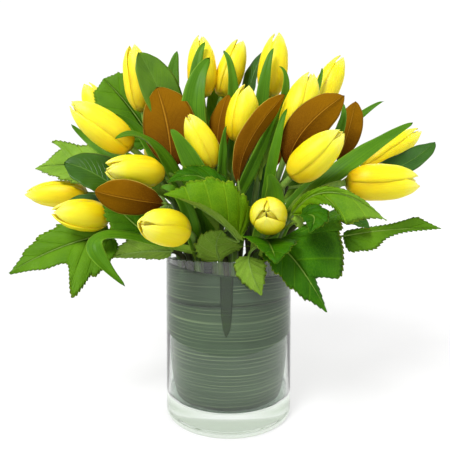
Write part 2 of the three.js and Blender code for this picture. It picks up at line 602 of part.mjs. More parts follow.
function flowerSolid({ foot, tip, width, turn, open }) {
  const base = vec(foot), axis = vec(tip).sub(base);
  const length = axis.length();
  const across = new THREE.Vector3(0, 0, 1).addScaledVector(axis, -axis.z / length ** 2);
  across.normalize();
  axis.normalize();
  const beside = axis.clone().cross(across);
  const flare = (t) => FLARE.amount * open * Math.max(0, t - FLARE.from) ** FLARE.power;
  const radiusAt = (t) => width / 2 * (radiusShare(t) + flare(t));
  const place = (t, degrees, drop) => {
    const a = THREE.MathUtils.degToRad(degrees + turn);
    const radius = radiusAt(t) - drop;
    return base.clone().addScaledVector(axis, t * length)
      .addScaledVector(across, radius * Math.cos(a)).addScaledVector(beside, radius * Math.sin(a));
  };
  const rings = ROWS.map((t, row) => {
    const ring = [];
    const [edgeRow, tipRow, edge] = [INNER_EDGE_ROWS[row], INNER_TIP_ROWS[row], INNER_EDGE[row]];
    const drop = row === 0 ? 0 : INNER_STEP;
    for (const sector of [0, 120, 240]) {
      for (const u of [-1, -PETAL_SHOULDER, PETAL_SHOULDER, 1]) {
        ring.push(place(t, sector + u * PETAL_SPREAD[row], 0));
      }
      ring.push(place(edgeRow, sector + edge, drop), place(tipRow, sector + 60, drop));
      ring.push(place(edgeRow, sector + 120 - edge, drop));
    }
    return ring;
  });
  const points = [base.clone(), ...rings.flat(), base.clone().addScaledVector(axis, CUP_FLOOR * length)];
  const n = rings[0].length, last = points.length - 1;
  const index = [];
  for (let i = 0; i < n; i++) {
    const j = (i + 1) % n;
    index.push(0, 1 + j, 1 + i, last, last - n + i, last - n + j);
    for (let row = 0; row < rings.length - 1; row++) {
      const [a, b] = [1 + row * n, 1 + (row + 1) * n];
      index.push(a + i, a + j, b + j, a + i, b + j, b + i);
    }
  }
  const geometry = new THREE.BufferGeometry();
  const numbers = new Float32Array(points.flatMap((p) => p.toArray()));
  geometry.setAttribute('position', new THREE.BufferAttribute(numbers, 3));
  geometry.setIndex(index);
  return solidOf(geometry);
}

// Putting the bunch together

const tulipAxes = TULIPS.map((tulip) => vec(tulip.tip).sub(vec(tulip.foot)).normalize());
const tulipEnds = TULIPS.map((tulip, i) => vec(tulip.foot).addScaledVector(tulipAxes[i], -GAP));
const sprigEnds = SPRIGS.map((sprig) => vec(sprig.top));
const leaning = (item, end) => (item.lean ? new THREE.Vector3(...item.lean, end.z) : end);
const stemEnds = [...tulipEnds, ...sprigEnds];
const stemRadii = [...TULIPS.map(() => TULIP_STEM.radius), ...SPRIGS.map((sprig) => SPRIG_STEM[sprig.kind])];
const places = rimPlaces([...TULIPS, ...SPRIGS].map((item, i) => leaning(item, stemEnds[i])), stemRadii);

const tulipStems = TULIPS.map((tulip, i) => {
  const path = stemPath(places[i], tulipEnds[i], tulipAxes[i], TULIP_STEM.steps);
  const parts = [rod(path, TULIP_STEM.radius, TULIP_STEM.sides, TULIP_STEM.steps)];
  for (const leaf of tulip.leaves) {
    const line = { foot: path.above(leaf.at), via: vec(leaf.via), tip: vec(leaf.tip) };
    const surface = new LeafSurface({ ...leaf, ...line });
    parts.push(smoothBlade(surface, tulipBlade(leaf.width), BLADE_ROWS.tulip, BLADE.tulip));
  }
  return { path, radius: TULIP_STEM.radius, solid: union(parts) };
});

const sprigs = SPRIGS.map((sprig, i) => {
  const place = places[TULIPS.length + i];
  const end = sprigEnds[i];
  const outward = new THREE.Vector3(end.x, end.y, 0).normalize();
  const direction = outward.multiplyScalar(BEND.sprigLean).add(new THREE.Vector3(0, 0, 1)).normalize();
  const path = stemPath(place, end, direction, SPRIG_STEM.steps);
  const radius = SPRIG_STEM[sprig.kind];
  const parts = [rod(path, radius, SPRIG_STEM.sides, SPRIG_STEM.steps)];
  for (const leaf of sprig.leaves) {
    const line = { foot: vec(leaf.foot), via: vec(leaf.via), tip: vec(leaf.tip) };
    const surface = new LeafSurface({ ...leaf, ...line });
    parts.push(stalk(path.above(leaf.at * STALK.leaves), surface));
    parts.push(sprig.kind === 'magnolia'
      ? smoothBlade(surface, magnoliaBlade(leaf.width), BLADE_ROWS.magnolia, BLADE.magnolia)
      : toothedBlade(surface, leaf.halves, BLADE.viburnum));
  }
  return { path, radius, solid: union(parts) };
});

// The water fills the lining, with a plain hole where each stem stands.
function waterSolid() {
  const foot = VASE.floor + GAP;
  const inside = (z) => liningOuter(z) - LINING.thick - GAP;
  const level = WATER.level;
  let water = solidOf(turned([
    [0, foot], [inside(foot), foot], [inside(LINING.belly), LINING.belly], [inside(level), level], [0, level],
  ], LINING.sides));
  for (const { path, radius } of [...tulipStems, ...sprigs]) {
    const run = path.rim.clone().sub(path.foot);
    const below = path.foot.clone().addScaledVector(run, -WATER.holeRunOn);
    const hole = rod(new THREE.LineCurve3(below, path.rim), radius + WATER.holeSlack, TULIP_STEM.sides, 1);
    water = water.subtract(hole);
  }
  return water;
}

const group = new THREE.Group();
const lining = liningSolids();
group.add(meshOf('vase', vaseSolid(), MATERIALS.glass));
group.add(meshOf('lining_leaf_lower', lining.lower, MATERIALS.lining));
group.add(meshOf('lining_leaf_upper', lining.upper, MATERIALS.lining));
group.add(meshOf('water', waterSolid(), MATERIALS.water));
TULIPS.forEach((tulip, i) => {
  group.add(meshOf(`flower_${tulip.name}`, flowerSolid(tulip), MATERIALS.petal));
  group.add(meshOf(`stem_${tulip.name}`, tulipStems[i].solid, MATERIALS.tulipGreen));
});
SPRIGS.forEach((sprig, i) => {
  group.add(meshOf(`${sprig.kind}_${sprig.name}`, sprigs[i].solid, MATERIALS[sprig.kind]));
});

export default group;
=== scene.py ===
import cmath
import math
from collections import namedtuple
from functools import partialmethod

import bpy
import bmesh
import numpy as np
from mathutils import Matrix, Vector


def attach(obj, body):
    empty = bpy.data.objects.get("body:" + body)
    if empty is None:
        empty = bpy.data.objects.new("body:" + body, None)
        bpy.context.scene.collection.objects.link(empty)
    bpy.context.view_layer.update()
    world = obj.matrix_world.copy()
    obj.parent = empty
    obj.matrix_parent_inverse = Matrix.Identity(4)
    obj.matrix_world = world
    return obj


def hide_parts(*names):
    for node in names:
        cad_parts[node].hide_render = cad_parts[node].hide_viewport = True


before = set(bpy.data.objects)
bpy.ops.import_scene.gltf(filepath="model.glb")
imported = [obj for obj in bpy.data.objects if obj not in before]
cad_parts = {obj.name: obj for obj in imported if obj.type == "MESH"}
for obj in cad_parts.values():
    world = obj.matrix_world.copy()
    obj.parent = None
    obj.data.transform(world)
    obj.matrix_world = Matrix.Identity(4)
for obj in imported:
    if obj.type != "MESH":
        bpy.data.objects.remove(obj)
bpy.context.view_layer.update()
scene = bpy.context.scene
MM = 0.001
# Points of a mesh closer than this, in metres, are welded into one.
WELD = 2e-6
scene.view_settings.view_transform = "Standard"


def placed(name, data):
    """A new object in the scene."""
    thing = bpy.data.objects.new(name, data)
    scene.collection.objects.link(thing)
    return thing


# Camera and lights

CAMERA_PLACE = (-0.0035, -0.385, 0.192)
CAMERA_LENS = 31.2
CAMERA_DIP = 1.76

camera = placed("camera", bpy.data.cameras.new("camera"))
camera.data.lens = CAMERA_LENS
camera.data.sensor_width = 36
camera.location = CAMERA_PLACE
camera.rotation_euler = (math.radians(90 - CAMERA_DIP), 0, 0)
scene.camera = camera


def softbox(name, place, size, power, aim=(0, 0, 0.2)):
    """A round lamp aimed at the bunch, which can't be seen through glass and water."""
    light = placed(name, bpy.data.lights.new(name, "AREA"))
    light.data.shape = "DISK"
    light.data.size = size
    light.data.energy = power
    light.visible_transmission = False
    light.location = place
    light.rotation_euler = (Vector(aim) - Vector(place)).to_track_quat("-Z", "Y").to_euler()


softbox("key_light", (-0.7, -1.2, 1.5), 0.7, 40)
softbox("fill_light", (1.4, -1.1, 0.9), 1.4, 6)
softbox("back_light", (0.5, 1.4, 1.3), 1.2, 9)

# The vase and what it holds

VASE_RADIUS = 61
VASE_HEIGHT = 151
VASE_WALL = 2.2
VASE_FLOOR = 20
# The rounding of its bottom edge.
VASE_HEEL = 3.5
WATER_LEVEL = 120
# The space between the water and the lining, and how far in and down the water's surface draws.
WATER_CLEAR = 0.6
MENISCUS = [(0, 0), (1.5, 0.9), (5, 1.2)]
# The clearance between pieces that touch.
GAP = 0.3

LINING_THICK = 0.8
LINING_FOOT = 51.5
# The outside of a leaf that water holds to the glass: a hair inside the wall, with no air between.
INTO_WALL = 0.15
CLINGING = VASE_RADIUS - VASE_WALL + INTO_WALL
# The outside of the lower leaf where it lies behind the upper one.
LAPPED = CLINGING - LINING_THICK - 0.55
# The outside of the lower leaf as (height, radius): it leans out from its foot to the wet glass.
LOWER_LINING = [(VASE_FLOOR, LINING_FOOT), (26, 53.2), (36, 55.4), (50, 57.1), (62, 58.1), (84, CLINGING)]
# The height where it starts to cling, and how much lower that is in front and behind.
WET_HEIGHT = 86
WET_DIP = 13
# The lower edge of the upper leaf: its height, and how it rises and falls round the glass.
LINING_SEAM = 113
SEAM_WAVE = 1.6
SEAM_TURN = 0.4
# How far the lower leaf runs up behind the upper one, and the lowest and highest of its top edge.
LINING_LAP = 10
LINING_TOP_LOW = 136.5
LINING_TOP_HIGH = 147
# The outline of the upper leaf's hanging end as (x, height), from its top left round its point.
LINING_TIP = [
    (-7.6, 138.5), (-7.2, 113), (-6.2, 101), (-5, 93), (-2.6, 86.4),
    (0.7, 93), (1.9, 101), (2.7, 113), (3.6, 138.5),
]

# The stems' radii, tulips at the foot and at the end, and how the stems stand in the vase

TULIP_STEM = (3.2, 2.7)
SPRIG_STEM = {"magnolia": 2.9, "viburnum": 2.6}
SPRIG_TAPER = 0.7
# How far out the stems stand at the rim, how much further they may be pushed, and how far below
# the top of the vase this is.
RIM_RADIUS = 50
RIM_SLACK = 2.4
RIM_DROP = 4
# At the rim they fan out from a point this far under the table.
FAN_DEPTH = 36
# On the vase's floor they stand drawn in and turned.
FOOT_SCALE = 0.86
TWIST = math.radians(15)
# The space that they keep at the rim, and the rounds of pushing that find it.
CLEARANCE = 1.8
ROUNDS = 240
# How far a stem runs straight on at each end of its bend, as a share of the way from rim to end.
STRAIGHT_ON = 0.34
# How far a sprig leans out at its end, and how far up its bend the last leaves grow.
SPRIG_LEAN = 0.5
SPRIG_LAST = 0.97

# A leaf stalk's radius, and how far along the midrib it runs

STALK = 1.3
STALK_REACH = {"magnolia": 0.15, "viburnum": 0.97}

# Viburnum leaves: their teeth, their side veins, and the usual angle that a half folds up by

TOOTH = 4.2
TOOTH_DEPTH = 1.3
# A tooth's outline: how far along it, and how far out.
TOOTH_STEPS = [0, 0.35, 0.7, 0.86, 1]
TOOTH_HEIGHTS = [0, 0.5, 1, 0.85, 0]
VEINS = 7
VEIN_SLANT = 0.4
FOLD = 0.25
QUILTING = 0.9
VIBURNUM_THICK = 0.55

# Half of a viburnum leaf's outline from its foot to its tip: [share along, share of the half width].
OVATE = [
  [0.03, 0.5], [0.12, 0.76], [0.26, 0.96], [0.3, 0.88], [0.46, 1], [0.49, 0.88],
  [0.66, 0.8], [0.68, 0.68], [0.82, 0.48], [0.84, 0.36],
]
LOBED = [
  [-0.02, 0.4], [0.28, 0.78], [0.33, 0.74], [0.46, 0.92], [0.57, 1],
  [0.5, 0.5], [0.54, 0.36], [0.7, 0.3], [0.82, 0.17],
]
BROAD = [
  [-0.04, 0.4], [0.02, 0.9], [0.04, 1.3], [0.1, 1.42], [0.2, 1.33], [0.29, 1.2], [0.27, 1.12],
  [0.41, 1], [0.4, 0.94], [0.54, 0.84], [0.65, 0.75], [0.82, 0.5], [0.74, 0.24],
  [0.72, 0.12], [0.84, 0.07],
]
BLUNT = [
  [-0.02, 0.42], [0.1, 0.78], [0.14, 0.75], [0.28, 0.97], [0.33, 0.92], [0.52, 1], [0.56, 0.92],
  [0.74, 0.86], [0.78, 0.76], [0.92, 0.54], [0.93, 0.42],
]
HOOKED = [
  [-0.02, 0.4], [0.14, 0.75], [0.33, 0.97], [0.45, 0.88], [0.6, 0.94], [0.78, 1], [0.64, 0.7],
  [0.7, 0.52], [0.82, 0.2], [0.9, 0.1],
]
BASAL = [
  [0, 0.62], [0.04, 0.95], [0.15, 0.96], [0.2, 1], [0.3, 0.92], [0.36, 0.7], [0.44, 0.4], [0.6, 0.16],
  [0.85, 0.08],
]
LATE_LOBE = [
  [0.05, 0.42], [0.3, 0.42], [0.5, 0.5], [0.65, 0.76], [0.76, 1], [0.84, 0.64], [0.92, 0.3],
]

# Each tulip: the foot and the point of its flower, its width, how it is turned about its own axis,
# how far its tips part, and its leaves. A leaf leaves the stem at a share of the length above the rim,
# and runs by way of a midway point to its tip. Then come its width and the way its upper side faces.
# Where a stem would stand in another's way at the rim, lean gives the place that it leans towards
# instead of the flower's foot.
Tulip = namedtuple("Tulip", "name foot tip width turn open leaves lean", defaults=[(), None])
Strap = namedtuple("Strap", "at via tip width face")
FRONT = [0, -1, 0.25]
BACK = [0, 1, 0.1]
LEFT = [-0.6, -1, 0.2]
RIGHT = [0.6, -1, 0.2]
TULIPS = [
  Tulip("upper_left", [-86, 12, 294], [-94, 6, 358], 29, 20, 0.5,
    leaves=[Strap(0.5, [-61, 24, 304], [-53, 24, 360], 25, FRONT)]),
  Tulip("far_left_back", [-135, 55, 285], [-157, 50, 335], 28, 0, 0.5),
  Tulip("left_shoulder", [-86, -38, 249], [-132, -58, 283], 30, 65, 0.05,
    leaves=[
      Strap(0.5, [-121, -10, 252], [-149, -14, 276], 14, [-0.3, -1, 0.6]),
      Strap(0.55, [-82, 2, 264], [-109, -14, 285], 15, [0.3, -1, 0.6]),
    ]),
  Tulip("left_open", [-59, -38, 227], [-99, -72, 227], 28, 15, 0.9,
    leaves=[Strap(0.45, [-66, -40, 250], [-93, -66, 252], 20, [0.15, -0.8, 1])]),
  Tulip("far_left", [-143, 12, 211], [-203, 6, 211], 27, 10, 0.3),
  Tulip("low_left", [-108, -32, 188], [-149, -56, 193], 28, 30, 0.15,
    leaves=[Strap(0.6, [-108, -46, 172], [-121, -50, 163], 14, [0, -0.6, 1])]),
  Tulip("front_left", [-36, -66, 177], [-64, -108, 185], 29, 90, 0.1, lean=[-50, -60],
    leaves=[
      Strap(0.17, [-101, -76, 172], [-81, -84, 135], 18, [-0.2, -0.5, 1]),
      Strap(0.1, [-38, -58, 200], [-57, -62, 213], 15, [0.3, -1, 0.4]),
    ]),
  Tulip("front_upper", [-13, -30, 233], [-36, -44, 277], 26, 55, 0.15,
    leaves=[
      Strap(0.35, [-33, -44, 236], [-50, -50, 264], 22, FRONT),
      Strap(0.4, [-6, -40, 242], [-2, -42, 268], 11, RIGHT),
    ]),
  Tulip("centre", [9, -22, 257], [17, -30, 307], 30, 35, 0.3, lean=[-2, -22],
    leaves=[Strap(0.4, [36, -26, 266], [46, -22, 294], 13, RIGHT)]),
  Tulip("top_left", [-27, 25, 312], [-28, 22, 374], 30, 10, 0.2,
    leaves=[
      Strap(0.4, [-32, 6, 310], [-23, 8, 362], 20, FRONT),
      Strap(0.3, [-34, -8, 284], [-18, -2, 342], 29, FRONT),
      Strap(0.04, [-25, 10, 184], [-28, 6, 214], 19, FRONT),
    ]),
  Tulip("top_centre", [-7, 30, 314], [14, 32, 374], 28, 0, 1.1, lean=[14, 40],
    leaves=[
      Strap(0.43, [4, 8, 310], [-5, 10, 354], 16, RIGHT),
      Strap(0.62, [-16, 47, 300], [-15, 47, 342], 19, FRONT),
      Strap(0.03, [8, 22, 170], [8, 22, 196], 19, FRONT),
    ]),
  Tulip("top_right", [41, 8, 307], [48, 4, 369], 29, 30, 0.2,
    leaves=[
      Strap(0.48, [32, -14, 304], [42, -15, 347], 15, FRONT),
      Strap(0.57, [53, -7, 304], [48, -11, 331], 13, RIGHT),
    ]),
  Tulip("right_upper", [56, -26, 258], [74, -32, 318], 32, 35, 0.15,
    leaves=[Strap(0.29, [40, -46, 244], [50, -48, 281], 12, LEFT)]),
  Tulip("right_back", [89, 22, 296], [117, 22, 353], 27, 0, 0.1,
    leaves=[
      Strap(0.5, [121, 2, 281], [152, 0, 301], 11, FRONT),
      Strap(0.55, [84, 4, 304], [92, 4, 335], 10, FRONT),
      Strap(0.37, [92, -24, 250], [103, -30, 292], 13, FRONT),
    ]),
  Tulip("right_front", [52, -55, 222], [89, -76, 256], 30, 50, 0.25, lean=[62, -44]),
  Tulip("far_right", [134, 8, 235], [189, 4, 274], 25, 15, 0.3),
  Tulip("right_open", [101, -46, 218], [160, -54, 219], 31, 30, 0.8, lean=[101, -58],
    leaves=[
      Strap(0.45, [104, -38, 233], [168, -26, 274], 19, [-0.3, -0.8, 0.6]),
      Strap(0.1, [59, -27, 201], [80, -26, 223], 13, FRONT),
    ]),
  Tulip("front_centre", [35, -54, 187], [25, -112, 193], 29, 60, 0.5, lean=[38, -48],
    leaves=[Strap(0.15, [38, -46, 196], [32, -60, 225], 24, FRONT)]),
  Tulip("back_left", [-70, 76, 240], [-101, 112, 280], 29, 0, 0.25,
    leaves=[Strap(0.4, [-96, 70, 240], [-128, 92, 266], 22, [0.2, 1, 0.6])]),
  Tulip("back_centre", [4, 84, 266], [10, 118, 318], 29, 20, 0.3,
    leaves=[Strap(0.4, [-18, 84, 254], [-26, 100, 296], 22, BACK)]),
  Tulip("back_right", [74, 74, 244], [106, 108, 284], 29, 40, 0.25,
    leaves=[Strap(0.4, [100, 62, 244], [138, 84, 266], 22, [-0.2, 1, 0.6])]),
  Tulip("back_low", [-26, 104, 200], [-36, 160, 218], 28, 10, 0.2,
    leaves=[Strap(0.35, [-4, 104, 200], [4, 134, 176], 24, [0, 0.6, 1])]),
]

# Each sprig: where its stem ends, and its leaves, each at a share of the stem's bend. A leaf has the foot,
# a midway point and the tip of its blade, its width or its two halves' outlines and widths, the way its
# upper side faces, and where they differ from the usual, the angles in radians that its halves fold up by.
Sprig = namedtuple("Sprig", "kind name top leaves lean", defaults=[None])
Oval = namedtuple("Oval", "at foot via tip width face")
Toothed = namedtuple("Toothed", "at foot via tip halves face folds", defaults=[(FOLD, FOLD)])
SPRIGS = [
  Sprig("magnolia", "left_centre", [-48, -10, 230], leaves=[
    Oval(0.9, [-53, -20, 234], [-57, -17, 272], [-68, -12, 311], 54, [0.1, 1, 0.1]),
    Oval(1, [-56, 6, 266], [-65, 1, 304], [-86, -9, 345], 42, [0.5, -1, 0.2]),
  ]),
  Sprig("magnolia", "left", [-66, -40, 196], leaves=[
    Oval(0.95, [-90, -26, 204], [-120, -29, 226], [-148, -33, 237], 46, [0.2, -0.8, 0.7]),
    Oval(1, [-54, -60, 200], [-78, -74, 203], [-104, -84, 209], 30, [0, 1, 0.2]),
    Oval(0.8, [-111, -12, 200], [-135, -14, 204], [-153, -18, 200], 18, [0, -0.5, 1]),
  ]),
  Sprig("magnolia", "centre", [19, -12, 234], lean=[30, -18], leaves=[
    Oval(0.55, [8, -52, 216], [16, -50, 252], [49, -40, 296], 22, [-0.8, 1, 0]),
    Oval(0.8, [-8, -8, 246], [-9, -8, 275], [0, -6, 306], 26, [0.5, 1, 0]),
    Oval(1, [24, 33, 296], [25, 33, 330], [39, 32, 364], 26, [-0.8, -0.6, 0.2]),
  ]),
  Sprig("magnolia", "right_centre", [56, -12, 218], leaves=[
    Oval(0.9, [51, -42, 234], [64, -50, 263], [99, -46, 293], 34, [-0.2, 1, -0.1]),
    Oval(1, [104, -12, 241], [113, -13, 268], [120, -12, 298], 25, [0.3, 1, 0]),
  ]),
  Sprig("magnolia", "right", [86, -18, 206], lean=[90, -24], leaves=[
    Oval(1, [122, -22, 230], [158, -22, 235], [191, -22, 258], 24, [-0.3, -0.8, 0.6]),
    Oval(0.85, [98, -34, 185], [112, -38, 185], [124, -42, 178], 13, [0, -1, 0.8]),
  ]),
  Sprig("magnolia", "back", [24, 70, 208], leaves=[
    Oval(1, [40, 82, 240], [50, 92, 274], [58, 96, 304], 44, [0, 1, 0.2]),
    Oval(0.8, [-42, 88, 244], [-50, 96, 266], [-60, 98, 294], 36, [0, -1, 0.2]),
    Oval(0.3, [22, 38, 186], [28, 38, 220], [38, 38, 266], 44, [0.1, -1, 0]),
    Oval(0.2, [-18, 31, 180], [-25, 34, 217], [-38, 37, 264], 42, [-0.1, -1, 0]),
  ]),
  Sprig("viburnum", "left_front", [-70, -34, 168], leaves=[
    Toothed(0.88, [-110, -24, 173], [-148, -40, 162], [-188, -54, 141],
      [[OVATE, 21], [LOBED, 54]], [-0.1, -1, 0.5]),
    Toothed(1, [-52, -38, 158], [-80, -34, 157], [-106, -34, 152],
      [[OVATE, 13], [OVATE, 17]], [0, 0.8, 0.6]),
    Toothed(0.92, [-77, -36, 176], [-94, -40, 192], [-108, -44, 211],
      [[OVATE, 17], [OVATE, 17]], [0.2, -1, 0.2]),
  ]),
  Sprig("viburnum", "left_back", [-84, 24, 250], leaves=[
    Toothed(0.75, [-128, 6, 230], [-163, 12, 240], [-200, 20, 238],
      [[HOOKED, 28], [OVATE, 22]], [0.2, -1, 0.6]),
    Toothed(1, [-80, 32, 266], [-104, 36, 303], [-134, 38, 336],
      [[BLUNT, 29], [BLUNT, 36]], [0.1, -1, 0.2]),
  ]),
  Sprig("viburnum", "centre_front", [-4, -54, 176], leaves=[
    Toothed(1, [-2, -52, 200], [-24, -58, 222], [-50, -70, 216],
      [[OVATE, 16], [OVATE, 22]], [0, -0.7, 1]),
    Toothed(0.9, [7, -66, 170], [-17, -82, 192], [-50, -86, 207],
      [[OVATE, 32], [OVATE, 17]], [0.1, -1, 0.5], [0.3, 1.4]),
    Toothed(0.5, [-8, -50, 152], [-11, -54, 165], [-6, -60, 177],
      [[OVATE, 18], [OVATE, 28]], [0, 1, 0.4], [0.1, 0.1]),
  ]),
  Sprig("viburnum", "front_right", [28, -54, 168], lean=[20, -56], leaves=[
    Toothed(0.9, [16, -64, 156], [18, -72, 144], [26, -74, 126],
      [[OVATE, 13], [OVATE, 13]], [0, 1, 0.3]),
    Toothed(1, [30, -60, 169], [31, -90, 167], [32, -116, 158],
      [[OVATE, 22], [OVATE, 22]], [0.1, -0.6, 1]),
    Toothed(0.8, [38, -66, 166], [53, -84, 152], [74, -92, 117],
      [[OVATE, 23], [BROAD, 52]], [0.2, -1, 0.4], [0.25, 0.05]),
    Toothed(1, [57, -81, 188], [63, -93, 189], [58, -101, 177],
      [[OVATE, 16], [OVATE, 12]], [0, -1, 0.6]),
  ]),
  Sprig("viburnum", "right", [66, -44, 182], lean=[60, -58], leaves=[
    Toothed(1, [52, -62, 191], [79, -82, 208], [119, -88, 186],
      [[LATE_LOBE, 22], [OVATE, 5]], [0, -1, 0.3]),
    Toothed(0.7, [104, -30, 171], [146, -35, 177], [188, -40, 178],
      [[BASAL, 17], [LATE_LOBE, 10]], [0, -1, 0.25]),
  ]),
  Sprig("viburnum", "back", [10, 80, 174], leaves=[
    Toothed(0.86, [-34, 96, 178], [-66, 116, 186], [-98, 132, 172],
      [[LOBED, 40], [LOBED, 40]], [0, 0.5, 1]),
    Toothed(1, [18, 99, 177], [26, 122, 172], [32, 146, 148],
      [[OVATE, 28], [OVATE, 28]], [0, 0.6, 1]),
    Toothed(0.8, [58, 88, 176], [90, 104, 190], [122, 116, 184],
      [[LOBED, 40], [LOBED, 40]], [0, 0.5, 1]),
  ]),
]

# Small helpers for shapes and node trees


def unit(vector):
    """The vector, or each row of vectors, at length 1."""
    vector = np.asarray(vector, float)
    return vector / np.linalg.norm(vector, axis=-1, keepdims=True)


def shares(count):
    return np.linspace(0, 1, count)


def bezier(corners, share):
    """Points on the curve with these corners, at the shares of its length."""
    share = np.atleast_1d(share)[:, None]
    points = [np.asarray(c, float) * np.ones_like(share) for c in corners]
    while len(points) > 1:
        points = [a + (b - a) * share for a, b in zip(points, points[1:])]
    return points[0]


def plug(tree, value, socket):
    """Gives a socket a plain value, another socket, a field, or a place made of three of these."""
    if isinstance(value, tuple) and any(isinstance(part, Field) for part in value):
        value = out(add(tree, "ShaderNodeCombineXYZ", dict(enumerate(value))))
    if isinstance(value, Field):
        value = value.socket
    if isinstance(value, bpy.types.NodeSocket):
        tree.links.new(value, socket)
    else:
        socket.default_value = value


def add(tree, kind, inputs=(), **settings):
    """A new node, with its settings and then its inputs, given by name or by number."""
    node = tree.nodes.new(kind)
    for name, value in settings.items():
        setattr(node, name, value)
    for key, value in dict(inputs).items():
        named = [s for s in node.inputs if s.name == key and s.enabled]
        plug(tree, value, named[0] if named else node.inputs[key])
    return node


def out(node, name=None):
    """A node's first output that is in use, or the one with this name."""
    return next(s for s in node.outputs if s.enabled and (name is None or s.name == name))


class Field:
    """A number that varies over a shape or a surface, so that rules are written as plain sums."""

    def __init__(self, tree, socket):
        self.tree = tree
        self.socket = socket

    def math(self, operation, *others):
        node = add(self.tree, "ShaderNodeMath", enumerate((self, *others)), operation=operation)
        return Field(self.tree, node.outputs[0])

    __add__ = __radd__ = partialmethod(math, "ADD")
    __sub__ = partialmethod(math, "SUBTRACT")
    __mul__ = partialmethod(math, "MULTIPLY")
    __truediv__ = partialmethod(math, "DIVIDE")
    __pow__ = partialmethod(math, "POWER")
    __abs__ = partialmethod(math, "ABSOLUTE")

    def __rsub__(self, other):
        return self * -1 + other

    def clamp(self):
        return self.math("MAXIMUM", 0).math("MINIMUM", 1)

    def over(self, level, gain):
        """0 up to the level, and from there up to 1, as steep as the gain says."""
        return ((self - level) * gain).clamp()

    def near(self, gain):
        """1 where this is 0, and from there down to 0, as steep as the gain says."""
        return (1 - self * gain).clamp()

    def rise(self, start, end):
        """How far this has come from start to end, between 0 and 1."""
        return ((self - start) / (end - start)).clamp()

    def zigzag(self):
        """0 at every whole number and 1 halfway between."""
        return self.math("PINGPONG", 0.5) * 2

    def line(self, points):
        """Reads this number off a smooth line drawn through the points."""
        node = add(self.tree, "ShaderNodeFloatCurve", {"Value": self})
        curve = node.mapping.curves[0]
        curve.points[0].location = points[0]
        curve.points[1].location = points[-1]
        for x, y in points[1:-1]:
            curve.points.new(x, y)
        node.mapping.update()
        return Field(self.tree, out(node))


def vector_math(tree, operation, *values):
    node = add(tree, "ShaderNodeVectorMath", operation=operation)
    for i, value in enumerate(values):
        plug(tree, value, node.inputs["Scale" if operation == "SCALE" and i == 1 else i])
    return out(node)


def split(tree, vector):
    node = add(tree, "ShaderNodeSeparateXYZ", {0: vector})
    return [Field(tree, s) for s in node.outputs]


def noise(tree, vector, scale, detail=2.0):
    node = add(tree, "ShaderNodeTexNoise", {"Vector": vector, "Scale": scale, "Detail": detail})
    return Field(tree, out(node))


# Finishes


def new_finish(name):
    material = bpy.data.materials.new(name)
    material.use_nodes = True
    return material, material.node_tree


def finished(material, colour, **values):
    """Gives a material its colour and its shader's other values, named with _ for each space."""
    tree = material.node_tree
    for name, value in {"Base_Color": colour, **values}.items():
        plug(tree, value, tree.nodes["Principled BSDF"].inputs[name.replace("_", " ")])
    return material


def scaled(colour, share):
    return tuple(share * part for part in colour)


def layered(tree, colour, *coats):
    """A colour with others laid over it in turn, each as (how much of it, colour)."""
    for share, coat in coats:
        node = add(tree, "ShaderNodeMix", {0: share}, data_type="RGBA")
        for value, socket in ((colour, node.inputs[6]), (coat, node.inputs[7])):
            plug(tree, (*value, 1) if isinstance(value, tuple) else value, socket)
        colour = node.outputs[2]
    return colour


def ramp(tree, factor, stops):
    """A colour read off a row of (share, colour) stops."""
    node = add(tree, "ShaderNodeValToRGB", {0: factor})
    elements = node.color_ramp.elements
    while len(elements) < len(stops):
        elements.new(0.5)
    for element, (share, colour) in zip(elements, stops):
        element.position = share
        element.color = (*colour, 1)
    return node.outputs[0]


def relief(tree, height, distance, strength=1.0):
    """Fine relief that only the shading shows, as deep as the distance in millimetres."""
    node = add(tree, "ShaderNodeBump", {"Height": height, "Distance": distance * MM, "Strength": strength})
    plug(tree, out(node), tree.nodes["Principled BSDF"].inputs["Normal"])


def object_place(tree):
    return add(tree, "ShaderNodeTexCoord").outputs["Object"]


def surface_places(tree):
    """Across and along a blade or a petal, and the place in space."""
    across, along, _ = split(tree, out(add(tree, "ShaderNodeUVMap", uv_map="UVMap")))
    return across, along, object_place(tree)


def from_axis(x, y):
    return (x**2 + y**2) ** 0.5


def petal_finish():
    """Yellow with orange ribs, greener at the foot and paler at the tip and the edges."""
    material, tree = new_finish("tulip_petal")
    across, along, place = surface_places(tree)
    ribs = noise(tree, (across * 34, along * 1.4, 0), 1, 3)
    body = ramp(tree, along, [
        (0, (0.55, 0.5, 0.004)), (0.07, (0.9, 0.47, 0.0005)), (0.35, (1.0, 0.63, 0.001)),
        (0.75, (1.0, 0.77, 0.015)), (1, (1.0, 0.92, 0.16)),
    ])
    colour = layered(
        tree, body,
        ((abs(across * 2 - 1) ** 5 * 0.35).clamp(), (1.0, 0.76, 0.01)),
        (ribs.over(0.45, 1.6) * 0.8, (0.9, 0.44, 0.0)),
        (noise(tree, place, 28).over(0.4, 2) * 0.5, (1.0, 0.86, 0.05)))
    relief(tree, ribs, 0.2, 0.5)
    return finished(
        material, colour, Roughness=0.45, Specular_IOR_Level=0.2, Subsurface_Weight=0.5,
        Subsurface_Scale=0.006, Subsurface_Radius=(1, 0.62, 0.01))


def stamen_finish():
    material, tree = new_finish("tulip_stamen")
    grain = noise(tree, object_place(tree), 900)
    relief(tree, grain, 0.15)
    return finished(material, layered(tree, (0.32, 0.3, 0.02), (grain, (0.62, 0.58, 0.1))), Roughness=0.7)


